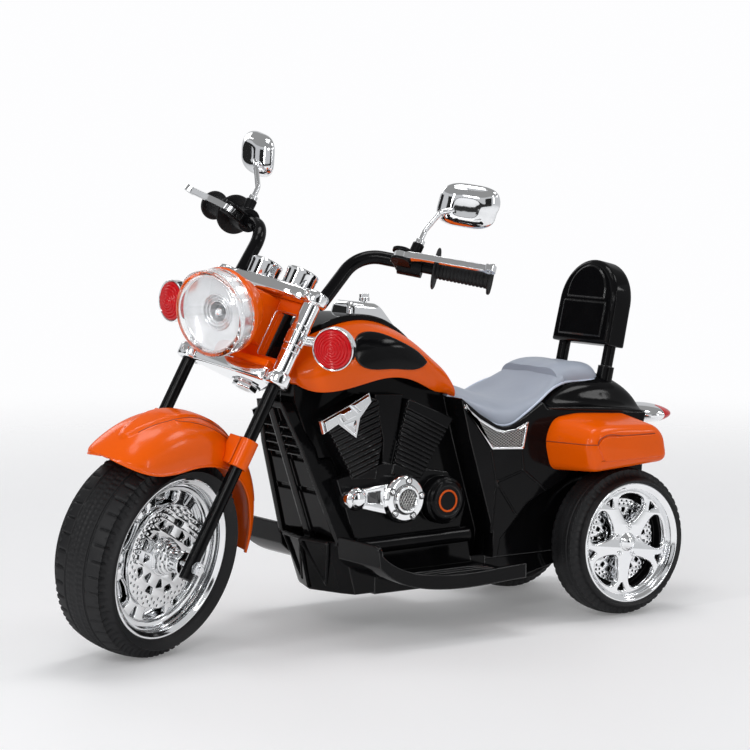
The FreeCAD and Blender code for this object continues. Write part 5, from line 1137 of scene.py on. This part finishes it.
class TRIKE_OT_indicators(bpy.types.Operator):
    """Dress the indicators with their ringed red lenses"""

    bl_idname = "trike.indicators"
    bl_label = "Indicators"

    def execute(self, context):
        turn = math.radians(15.0)
        axis = AHEAD * math.cos(turn) + Vector((0.0, math.sin(turn), 0.0))
        spot = Vector((37.5, 113.5, 14.5))
        place = aim(spot, axis)
        cup = [(0.0, -25.0)] + arc((8.0, -25.0), (17.6, -18.6), (23.0, -8.6), 8)
        cup += [(23.0, -1.6), (23.4, -0.6), (23.2, 0.5), (22.4, 0.9), (21.6, 0.5), (21.2, -0.4), (21.2, -7.4),
                (0.0, -7.4)]
        collar = [(7.1, 6.6), (11.0, 6.6), (11.5, 7.2), (11.5, 21.8), (11.0, 22.4), (7.1, 22.4)]
        housing = steered_sides(joined([
            turned(cup, place, 72), turned(collar, FORK_LEG, 48),
            tube([(32.0, 60.0, 14.5), tuple(spot - axis * 20.0)], 5.5, Matrix.Identity(4), sides=6)]))
        piece("indicator_cups", shaded(housing), "steering", "chrome", "indicator_housings")
        profile = [(0.0, -7.5), (21.0, -7.5), (21.0, 0.6)]
        for index in range(6):
            radius = 20.3 - 3.1 * index
            height = 7.2 * (1.0 - (radius / 23.5) ** 2)
            profile += [(radius, height - 0.9), (radius - 0.7, height + 0.1), (radius - 1.6, height + 0.3),
                        (radius - 2.3, height - 0.1), (radius - 2.7, height - 0.5)]
        mesh = steered_sides(turned(profile + [(1.2, 7.0), (0.0, 7.1)], place, 72))
        piece("indicator_ridged_lenses", shaded(mesh, 60.0), "steering", "lens_red", "indicator_lenses")
        return {"FINISHED"}


class TRIKE_OT_gauges(bpy.types.Operator):
    """Dress the gauge pods with plain dials"""

    bl_idname = "trike.gauges"
    bl_label = "Gauges"

    def execute(self, context):
        place = at(23.0, 25.0, 70.0)
        pod = [(0.0, 0.0), (16.6, 0.0), (17.2, 1.0), (17.7, 15.6), (18.2, 16.4), (18.2, 19.8), (17.4, 20.8),
               (15.0, 20.8), (14.0, 19.6), (13.6, 17.8), (0.0, 17.6)]
        pods = steered_sides(turned(pod, place, 64))
        piece("gauge_cups", shaded(pods), "steering", "chrome", "gauge_pods")
        face = [(0.0, 17.5), (13.0, 17.5), (13.0, 18.2), (12.3, 18.6), (0.0, 18.6)]
        dials = steered_sides(turned(face, place, 48))
        piece("gauge_dials", shaded(dials), "steering", "dial_and_shade")
        return {"FINISHED"}


class TRIKE_OT_bars(bpy.types.Operator):
    """Make the handlebars, ribbed grips, perches and levers"""

    bl_idname = "trike.bars"
    bl_label = "Handlebars"

    def execute(self, context):
        dressed("handlebars", "body_black")
        dressed("lever_perches", "trim_black")
        dressed("clutch_lever", "chrome")
        dressed("brake_lever", "chrome")
        corner = Vector((2.0, 66.0, 134.0))
        end = Vector((-59.0, 197.0, 162.5))
        along = (end - corner).normalized()
        ribs = context.scene.trike_sizes.grip_ribs
        profile = [(7.6, 0.0), (21.8, 0.0), (22.8, 0.7), (22.8, 1.8), (21.8, 2.5), (12.5, 2.7), (11.2, 3.6)]
        pitch = (GRIP_LENGTH - 10.0) / ribs
        for index in range(ribs):
            low = 5.0 + pitch * index
            profile += [(11.0, low), (10.2, low + 0.5), (10.2, low + 0.32 * pitch),
                        (11.0, low + 0.32 * pitch + 0.5), (11.0, low + pitch - 0.2)]
        profile += [(11.4, 59.2), (16.0, 59.8), (16.9, 60.6), (16.9, 62.2), (16.0, GRIP_LENGTH),
                    (0.0, GRIP_LENGTH)]
        profile = [(0.0, 58.9), (7.6, 58.9)] + profile
        mesh = steered_sides(turned(profile, aim(end - along * GRIP_LENGTH, along), 56))
        piece("grip_sleeves", shaded(mesh), "steering", "grip_black", "grips")
        return {"FINISHED"}


class TRIKE_OT_mirrors(bpy.types.Operator):
    """Dress the mirrors"""

    bl_idname = "trike.mirrors"
    bl_label = "Mirrors"

    def execute(self, context):
        for node in ("mirror_left", "mirror_right"):
            dressed(node, "chrome", 50.0)
        return {"FINISHED"}


class TRIKE_OT_tub(bpy.types.Operator):
    """Dress the tub, the cowl, the belly pan and the footboards"""

    bl_idname = "trike.tub"
    bl_label = "Tub and footboards"

    def execute(self, context):
        for node in ("body_left", "body_right", "front_cowl", "belly_pan"):
            dressed(node, "body_black")
        nose, brow = (-49.0, 0.0, 106.0), (-57.0, 45.0, 106.0)
        cheek, heel = (-68.5, 24.0, 56.0), (-61.5, 0.0, 50.0)
        ridges = ((nose, heel), (nose, brow), (nose, cheek), (cheek, brow))
        lines = joined([tube(ridge, 2.0, MM @ at(HEAD_X)) for ridge in ridges])
        piece("chin_ridges", both_sides(lines), "chassis", "body_black")
        low = (((155.8, 161.2), (163.0, 104.0)), ((117.4, 171.8), (84.0, 146.0)),
               ((155.8, 161.2), (128.0, 122.0)))
        high = (((164.0, 198.0), (155.8, 161.2)), ((120.4, 197.0), (117.4, 171.8)),
                ((155.8, 161.2), (117.4, 171.8)))
        creases = both_sides(joined([tube([(x, CREASE_Y, z) for x, z in line], 1.8, MM) for line in low]))
        clear_of_switch = [tube([(x, CREASE_Y, z) for x, z in line], 1.8, MM) for line in high]
        piece("tub_creases", joined([creases] + clear_of_switch), "chassis", "body_black")
        for node in ("footboard_left", "footboard_right"):
            dressed(node, "body_black")
        return {"FINISHED"}


class TRIKE_OT_engine(bpy.types.Operator):
    """Dress the engine covers with bolts, air mesh, plain rings and black pieces of painted shade in their
    hollows
    """

    bl_idname = "trike.engine"
    bl_label = "Engine covers"

    def execute(self, context):
        sizes = context.scene.trike_sizes
        for node in ("engine_left", "engine_right"):
            dressed(node, "body_black")
        stones = (
            ([(-30, 244), (-64, 258), (-94, 272), (-97, 262), (-82, 245), (-77, 223), (-53, 240), (-34, 230)],
             71.0, 0.98),
            ([(-30, 244), (-58, 255.6), (-53, 240), (-34, 230)], 75.0, 0.72),
            ([(-66, 259), (-94, 272), (-97, 262), (-78, 249)], 75.0, 0.68),
            ([(-56, 240), (-80, 246), (-77, 223)], 76.0, 0.2),
            ([(-49, 252), (-68, 260), (-78, 247.5), (-58, 240)], 78.0, 0.55),
        )
        cover = both_sides(joined([facet(loop, 68.0, top, draw) for loop, top, draw in stones]))
        piece("rocker_stones", cover, "chassis", "chrome", "rocker_covers")
        drum = [(0.0, -4.0), (27.0, -4.0), (27.0, 10.6), (26.4, 12.8), (23.6, 15.6), (22.6, 16.0),
                (16.4, 16.0), (15.7, 16.5), (15.2, 19.4), (14.6, 20.0), (12.4, 20.0), (11.8, 19.5),
                (11.2, 18.0), (10.6, 17.2), (0.0, 17.2)]
        cup = [(0.0, -4.0), (13.0, -4.0), (13.0, 9.4), (12.3, 11.0), (9.8, 13.2), (8.6, 13.6), (8.2, 14.8),
               (7.2, 16.4), (4.4, 17.6), (0.0, 18.0)]
        strap = [(-137.0, 172.0), (-75.0, 167.0), (-75.0, 147.0), (-137.0, 130.0)]
        hollow = rounded([(-107.0, 162.5), (-90.0, 161.5), (-90.0, 152.0), (-107.0, 149.5)], 1.5)
        flank = MM @ at(HEAD_X, COVER_Y)
        drum_place = flank @ at(DRUM_X, 0.0, DRUM_Z) @ SIDEWAYS
        cover = both_sides(joined([
            turned(drum, drum_place, 80),
            turned(cup, flank @ at(-75.0, 0.0, 157.0) @ SIDEWAYS, 56),
            plate([strap, hollow], 10.5, 2.0, flank @ SIDEWAYS)]))
        piece("primary_cover_forms", shaded(cover), "chassis", "chrome", "primary_covers")
        # Black pieces in the strap's hollow, on the drum's top, in its groove and round the bolts: painted
        # shade.
        spots = spun(ring_loop(20.6, 5), 100.0)
        dark = [plate([hollow], 7.5, 0.4, flank @ SIDEWAYS, 1),
                turned(band(0.0, 10.5, 17.0, 17.6), drum_place, 40),
                turned(band(15.9, 17.2, 15.6, 16.15), drum_place, 64)]
        dark += [turned(band(2.0, 4.4, 15.4, 16.2), drum_place @ at(x, y), 24) for x, y in spots]
        piece("primary_cover_painted_shade", both_sides(joined(dark)), "chassis", "dial_and_shade")
        dome = [(0.0, 20.0), (26.5, 20.0), (26.5, 31.2), (25.6, 33.0), (23.0, 33.8), (22.4, 34.3),
                (21.7, 36.0), (19.8, 37.2), (17.2, 37.4), (16.6, 36.8), (0.0, 36.8)]
        domes = both_sides(turned(dome, flank @ at(PULLEY_X, -PULLEY_IN, PULLEY_Z) @ SIDEWAYS, 72))
        piece("pulley_domes", shaded(domes), "chassis", "body_black")
        for label, side in (("left", 1), ("right", -1)):
            face = SIDEWAYS if side > 0 else Matrix.Scale(-1.0, 4, (0.0, 1.0, 0.0)) @ SIDEWAYS
            cover = MM @ at(HEAD_X + DRUM_X, COVER_Y * side, DRUM_Z) @ face
            bolts = outward(studs(spots, 15.4, sizes.stud * 1000, 3.0, "chrome", cover), 0.0000001)
            piece(f"primary_bolts_{label}", shaded(bolts), "chassis", "chrome")
            wires = grown(kept("Round air mesh", mesh_tree), [(0.0, 0.0, 0.0)],
                          {"Radius": 10.5, "Wire": sizes.wire * 1000, "Count": 6, "Finish": paint("steel")},
                          cover @ at(z=18.6))
            piece(f"primary_mesh_{label}", outward(wires, 0.0000001), "chassis", "steel")
            pulley = MM @ at(HEAD_X + PULLEY_X, (COVER_Y - PULLEY_IN) * side, PULLEY_Z) @ face
            ring = turned([(10.4, 36.4), (12.6, 36.4), (12.6, 37.4), (12.2, 37.8), (10.8, 37.8),
                           (10.4, 37.4)], pulley, 48)
            piece(f"pulley_ring_{label}", ring, "chassis", "ring")
        return {"FINISHED"}


class TRIKE_OT_tank(bpy.types.Operator):
    """Dress the tank, its teardrop panels, the console and the key knob"""

    bl_idname = "trike.tank"
    bl_label = "Tank and console"

    def execute(self, context):
        for node in ("tank_left", "tank_right"):
            dressed(node, "orange", 40.0)
        dressed("tank_panels", "body_black", 40.0)
        dressed("console_base", "body_black", 40.0)
        foot = [(-94, 27), (-188, 13), (-188, -13), (-94, -27)]
        head = [(-104, 19), (-147, 15), (-147, -15), (-104, -19)]
        edge = edge_levels(0.84, 0.16, 6.0, range(15, 91, 15))
        rings = []
        for share, drawn in [(0.0, 0.0), (0.5, 0.0), (0.84, 0.0), *edge, (1.0, 7.5)]:
            loop = inset(rounded(between(foot, head, share), 8.0, 5), drawn)
            rings.append([(HEAD_X + x, y, 318.0 + share * (50.0 + (x + 108.0) * 0.13)) for x, y in loop])
        piece("console_block", shaded(layered(rings, MM), 50.0), "chassis", "chrome", "console")
        dressed("ignition_knob", "chrome")
        return {"FINISHED"}


class TRIKE_OT_seat(bpy.types.Operator):
    """Dress the moulded seat and the bead on its lower lip, painted light grey as a highlight"""

    bl_idname = "trike.seat"
    bl_label = "Seat"

    def execute(self, context):
        dressed("seat", "seat_grey", 46.0)
        line = [(205, 50, 260.2), (179.7, 63, 241.2), (156.7, 70, 227.7), (145, 71.8, 224.2),
                (133, 73, 225.2), (113, 73.2, 235.2), (90, 71.2, 248.7), (70, 65.2, 258.9), (55, 60.2, 263.5),
                (34, 52.6, 266), (6, 51.4, 266), (-11, 47.6, 266), (-18.6, 41.6, 266)]
        # A bead on the seat's lower lip, painted light grey as its highlight.
        highlit_lip = both_sides(tube(line, 1.4, MM))
        piece("seat_lip_highlight", highlit_lip, "chassis", "painted_lip_highlight")
        return {"FINISHED"}


def bag_rings():
    """The left saddlebag as rings of points from its inner side to the rounded edge of its outer side."""
    inner = [(78, 168), (87, 204), (76, 229), (42, 233), (-32, 228), (-45, 211), (-50, 176)]
    outer = [(64, 171), (69, 203), (59, 219), (36, 222), (-29, 219), (-42, 208), (-48, 177)]
    edge = edge_levels(129.0, 11.0, 11.0, range(0, 91, 10))
    rings = []
    for y, drawn in [(78.0, 0.0), (79.5, 0.0), (104.0, 0.0), *edge, (140.0, 12.5)]:
        loop = between(inner, outer, (y - 78.0) / 62.0)
        rings.append([(x, y, z) for x, z in inset(rounded(loop, 13.0, 6), drawn)])
    return rings


def bag_mesh():
    """The left saddlebag: a tapered rounded case with a raised side panel."""
    field = rounded([(60, 203), (51, 211), (-30, 210), (-38, 184), (49, 183)], 4.0)
    panel = plate([field], 2.4, 1.0, MM @ at(y=139.2) @ SIDEWAYS)
    return joined([shaded(layered(bag_rings(), MM), 40.0), panel])


def bag_seam():
    """The line below the left saddlebag's lid: across the front, up the panel's corner and along its top,
    painted dark orange as the shade in the seam.
    """
    line = []
    for ring in bag_rings()[:-1]:
        for (x0, y, z0), (x1, _, z1) in zip(ring, ring[1:]):
            if z0 <= 203.0 < z1 and x0 > 20.0:
                line.append((x0 + (x1 - x0) * (203.0 - z0) / (z1 - z0), y, 203.0))
    line += [(59.0, 140.2, 204.0), (52.0, 140.2, 211.4), (20.0, 140.2, 211.2), (-24.0, 140.2, 210.9)]
    return tube(line, 0.7, MM, sides=1)


class TRIKE_OT_tail(bpy.types.Operator):
    """Dress the rear fender, saddlebags, grilles, tail lamp and backrest"""

    bl_idname = "trike.tail"
    bl_label = "Tail"

    def execute(self, context):
        dressed("rear_fender", "body_black", 46.0)
        piece("saddlebag_cases", both_sides(bag_mesh()), "chassis", "orange", "saddlebag_left",
              "saddlebag_right")
        # The seam is painted dark orange as the shade in it.
        piece("saddlebag_seams", both_sides(bag_seam()), "chassis", "painted_seam_shade")
        frame_loop = rounded([(203, 252), (163.9, 199), (119, 196), (111.9, 228), (130, 220.5), (146, 219),
                              (158, 222.5), (181, 235)], 2.0, 3)
        field = inset(frame_loop, 3.0)
        wall = MM @ at(y=78.0) @ SIDEWAYS
        frames = both_sides(plate([frame_loop, field], 2.8, 0.9, wall))
        piece("side_grille_frames", shaded(frames), "chassis", "chrome", "side_grilles")
        ends = hatch(field, 32.0, 2.6) + hatch(field, -32.0, 2.6)
        values = {"Wire": context.scene.trike_sizes.wire * 900, "Finish": paint("steel")}
        wires = both_sides(grown(kept("Wires", wire_tree), [(x, z, 1.4) for x, z in ends], values, wall,
                                 [(i, i + 1) for i in range(0, len(ends), 2)]))
        piece("side_grille_wires", shaded(wires), "chassis", "steel")
        dressed("backrest_pad", "body_black", 40.0)
        dressed("backrest_struts", "body_black")
        dressed("tail_lamp_housing", "chrome", 50.0)
        dressed("tail_lamp_lens", "lens_red", 50.0)
        return {"FINISHED"}


class TRIKE_OT_drive(bpy.types.Operator):
    """Dress the drive, the pedal and the switches"""

    bl_idname = "trike.drive"
    bl_label = "Drive and controls"

    def execute(self, context):
        for node, finish in (("rear_axle", "steel"), ("gearbox", "gearbox_grey"), ("drive_motor", "steel"),
                             ("battery", "battery_grey"), ("charging_socket", "trim_black"),
                             ("direction_switch", "trim_black"), ("pedal_pin", "steel"),
                             ("accelerator_pedal", "grip_black")):
            dressed(node, finish)
        return {"FINISHED"}


def lamp(name, place, target, size, watts):
    """A soft lamp that looks at a point."""
    data = bpy.data.lights.new(name, "AREA")
    data.shape = "RECTANGLE"
    data.size, data.size_y = size
    data.energy = watts
    obj = put(name, data)
    obj.location = place
    obj.rotation_euler = (Vector(target) - Vector(place)).to_track_quat("-Z", "Y").to_euler()


def studio_world():
    """White for the camera and clear pieces, light grey for metal and a plain soft light for the rest."""
    world = bpy.data.worlds.new("Studio")
    bpy.context.scene.world = world
    world.use_nodes = True
    tree = world.node_tree
    tree.nodes.clear()
    path = add(tree, "ShaderNodeLightPath").outputs
    clear = maths(tree, "MAXIMUM", path["Is Camera Ray"], path["Is Transmission Ray"])
    level = maths(tree, "MULTIPLY_ADD", path["Is Glossy Ray"], 0.22, 0.4)
    white = add(tree, "ShaderNodeBackground", {"Color": (0.985, 0.985, 0.995, 1.0), "Strength": 1.0})
    soft = add(tree, "ShaderNodeBackground", {"Color": (0.97, 0.98, 1.0, 1.0), "Strength": level})
    mix = add(tree, "ShaderNodeMixShader",
              {"Fac": clear, 1: soft.outputs["Background"], 2: white.outputs["Background"]})
    add(tree, "ShaderNodeOutputWorld", {"Surface": mix.outputs["Shader"]})


def staged(name, corners, faces, finish):
    """A piece of the studio."""
    mesh = meshed(name, corners, faces)
    mesh.materials.append(finish)
    obj = put(name, mesh)
    return obj


def floor_finish():
    """The floor: lit a little for the camera and for metal, and fading out far from the trike."""
    finish, tree, surface = blank_finish("floor_white")
    path = add(tree, "ShaderNodeLightPath").outputs
    mirrored = maths(tree, "MULTIPLY", path["Is Glossy Ray"], 0.28)
    lift = maths(tree, "MULTIPLY_ADD", path["Is Camera Ray"], 0.16, mirrored)
    spot = add(tree, "ShaderNodeTexCoord").outputs["Object"]
    away = add(tree, "ShaderNodeVectorMath", {0: spot, 1: (MIDDLE_X, 0.0, 0.0)},
               operation="DISTANCE").outputs["Value"]
    fade = ranged(tree, away, {"From Min": 0.7, "From Max": 2.6, "To Min": 1.0, "To Max": 0.0},
                  interpolation_type="SMOOTHSTEP")
    feed(tree, surface, {"Base Color": (0.86, 0.86, 0.87, 1.0), "Roughness": 0.55, "Specular IOR Level": 0.3,
                         "Emission Color": (1.0, 1.0, 1.0, 1.0), "Emission Strength": lift, "Alpha": fade})
    return finish


def room_strip(name, start, end, low, high, level):
    """A strip round the trike between two (radius, height) lines; only polished surfaces see it."""
    finish, tree, surface = blank_finish(name)
    feed(tree, surface, {"Base Color": (0.0, 0.0, 0.0, 1.0), "Specular IOR Level": 0.0,
                         "Emission Color": (level, level, level, 1.0), "Emission Strength": 1.0})
    corners = []
    for step in range(25):
        turn = math.radians(start + (end - start) * step / 24)
        for radius, height in (low, high):
            corners.append((MIDDLE_X + radius * math.cos(turn), radius * math.sin(turn), height))
    strip = staged(name, corners, [(2 * i, 2 * i + 2, 2 * i + 3, 2 * i + 1) for i in range(24)], finish)
    strip.visible_camera = False
    strip.visible_diffuse = False
    strip.visible_transmission = False
    strip.visible_shadow = False


class TRIKE_OT_stage(bpy.types.Operator):
    """Set the floor, the soft lamps, the strips of the room and the camera"""

    bl_idname = "trike.stage"
    bl_label = "Studio"

    def execute(self, context):
        scene = context.scene
        scene.view_settings.view_transform = "Standard"
        studio_world()
        staged("floor", [(-6, -6, 0), (6, -6, 0), (6, 6, 0), (-6, 6, 0)], [(0, 1, 2, 3)], floor_finish())
        lamp("key_lamp", (1.9, 1.7, 1.5), (0.25, 0.0, 0.2), (0.6, 0.5), 8.0)
        lamp("side_strip", (-0.5, 2.2, 0.95), (0.1, 0.0, 0.25), (0.1, 1.6), 4.0)
        lamp("front_strip", (2.3, 0.5, 0.95), (0.3, 0.0, 0.25), (0.16, 1.6), 10.5)
        lamp("top_lamp", (0.1, -0.2, 2.4), (0.2, 0.0, 0.0), (1.0, 0.7), 13.0)
        lamp("rear_lamp", (-1.2, 0.68, 2.08), (0.3, 0.0, 0.25), (0.7, 0.4), 5.0)
        lamp("far_lamp", (0.3, -2.3, 1.5), (0.2, 0.0, 0.25), (0.9, 0.9), 6.0)
        for name, start, end in (("dark_wall_right", -75.0, -40.0), ("dark_wall_front", -12.0, 12.0),
                                 ("dark_wall_left", 74.0, 98.0)):
            room_strip(name, start, end, (3.4, 0.0), (3.4, 1.5), 0.02)
        room_strip("bright_window_rear", 147.0, 163.0, (1.75, 1.85), (1.45, 2.2), 7.0)
        room_strip("bright_window_side", 138.0, 150.0, (2.25, 1.27), (2.2, 1.5), 8.0)
        room_strip("bright_window_top", -20.0, 50.0, (0.4, 2.35), (0.7, 2.3), 5.0)
        room_strip("dark_floor", -60.0, 100.0, (1.7, 0.004), (3.4, 0.004), 0.03)
        room_strip("grey_ceiling", 0.0, 360.0, (0.8, 2.9), (3.4, 2.3), 0.32)
        data = bpy.data.cameras.new("photo_camera")
        data.sensor_width = 36.0
        data.lens = CAMERA_LENS
        data.clip_end = 50.0
        camera = put("photo_camera", data)
        yaw, pitch, roll = [math.radians(angle) for angle in CAMERA_TURN]
        forward = Vector((math.cos(pitch) * math.cos(yaw), math.cos(pitch) * math.sin(yaw), math.sin(pitch)))
        right = forward.cross(Vector((0.0, 0.0, 1.0))).normalized()
        up = right.cross(forward)
        turn = Matrix((right, up, -forward)).transposed().to_4x4() @ Matrix.Rotation(roll, 4, "Z")
        camera.matrix_world = Matrix.Translation(CAMERA_PLACE) @ turn
        scene.camera = camera
        return {"FINISHED"}


class TRIKE_PT_pieces(bpy.types.Panel):
    """Sizes, colours and steps of the trike"""

    bl_idname = "TRIKE_PT_pieces"
    bl_label = "Cruiser trike"
    bl_space_type = "VIEW_3D"
    bl_region_type = "UI"
    bl_category = "Trike"

    def draw(self, context):
        for group in (context.scene.trike_colours, context.scene.trike_sizes):
            for label in group.__annotations__:
                self.layout.prop(group, label)
        for operator in OPERATORS:
            self.layout.operator(operator.bl_idname)


OPERATORS = (
    TRIKE_OT_stage, TRIKE_OT_tyres, TRIKE_OT_front_rim, TRIKE_OT_rear_rims, TRIKE_OT_fork,
    TRIKE_OT_front_fender, TRIKE_OT_headlight, TRIKE_OT_indicators, TRIKE_OT_gauges, TRIKE_OT_bars,
    TRIKE_OT_mirrors, TRIKE_OT_tub, TRIKE_OT_engine, TRIKE_OT_tank, TRIKE_OT_seat, TRIKE_OT_tail,
    TRIKE_OT_drive)
CLASSES = (TrikeColours, TrikeSizes) + OPERATORS + (TRIKE_PT_pieces,)


def register():
    """Adds the classes and the scene's settings."""
    for item in CLASSES:
        bpy.utils.register_class(item)
    bpy.types.Scene.trike_colours = bpy.props.PointerProperty(type=TrikeColours)
    bpy.types.Scene.trike_sizes = bpy.props.PointerProperty(type=TrikeSizes)


def unregister():
    """Takes the classes and the scene's settings away."""
    del bpy.types.Scene.trike_sizes
    del bpy.types.Scene.trike_colours
    for item in reversed(CLASSES):
        bpy.utils.unregister_class(item)


def main():
    """Makes every piece in order."""
    register()
    for operator in OPERATORS:
        group, step = operator.bl_idname.split(".")
        getattr(getattr(bpy.ops, group), step)()


if __name__ == "__main__":
    main()
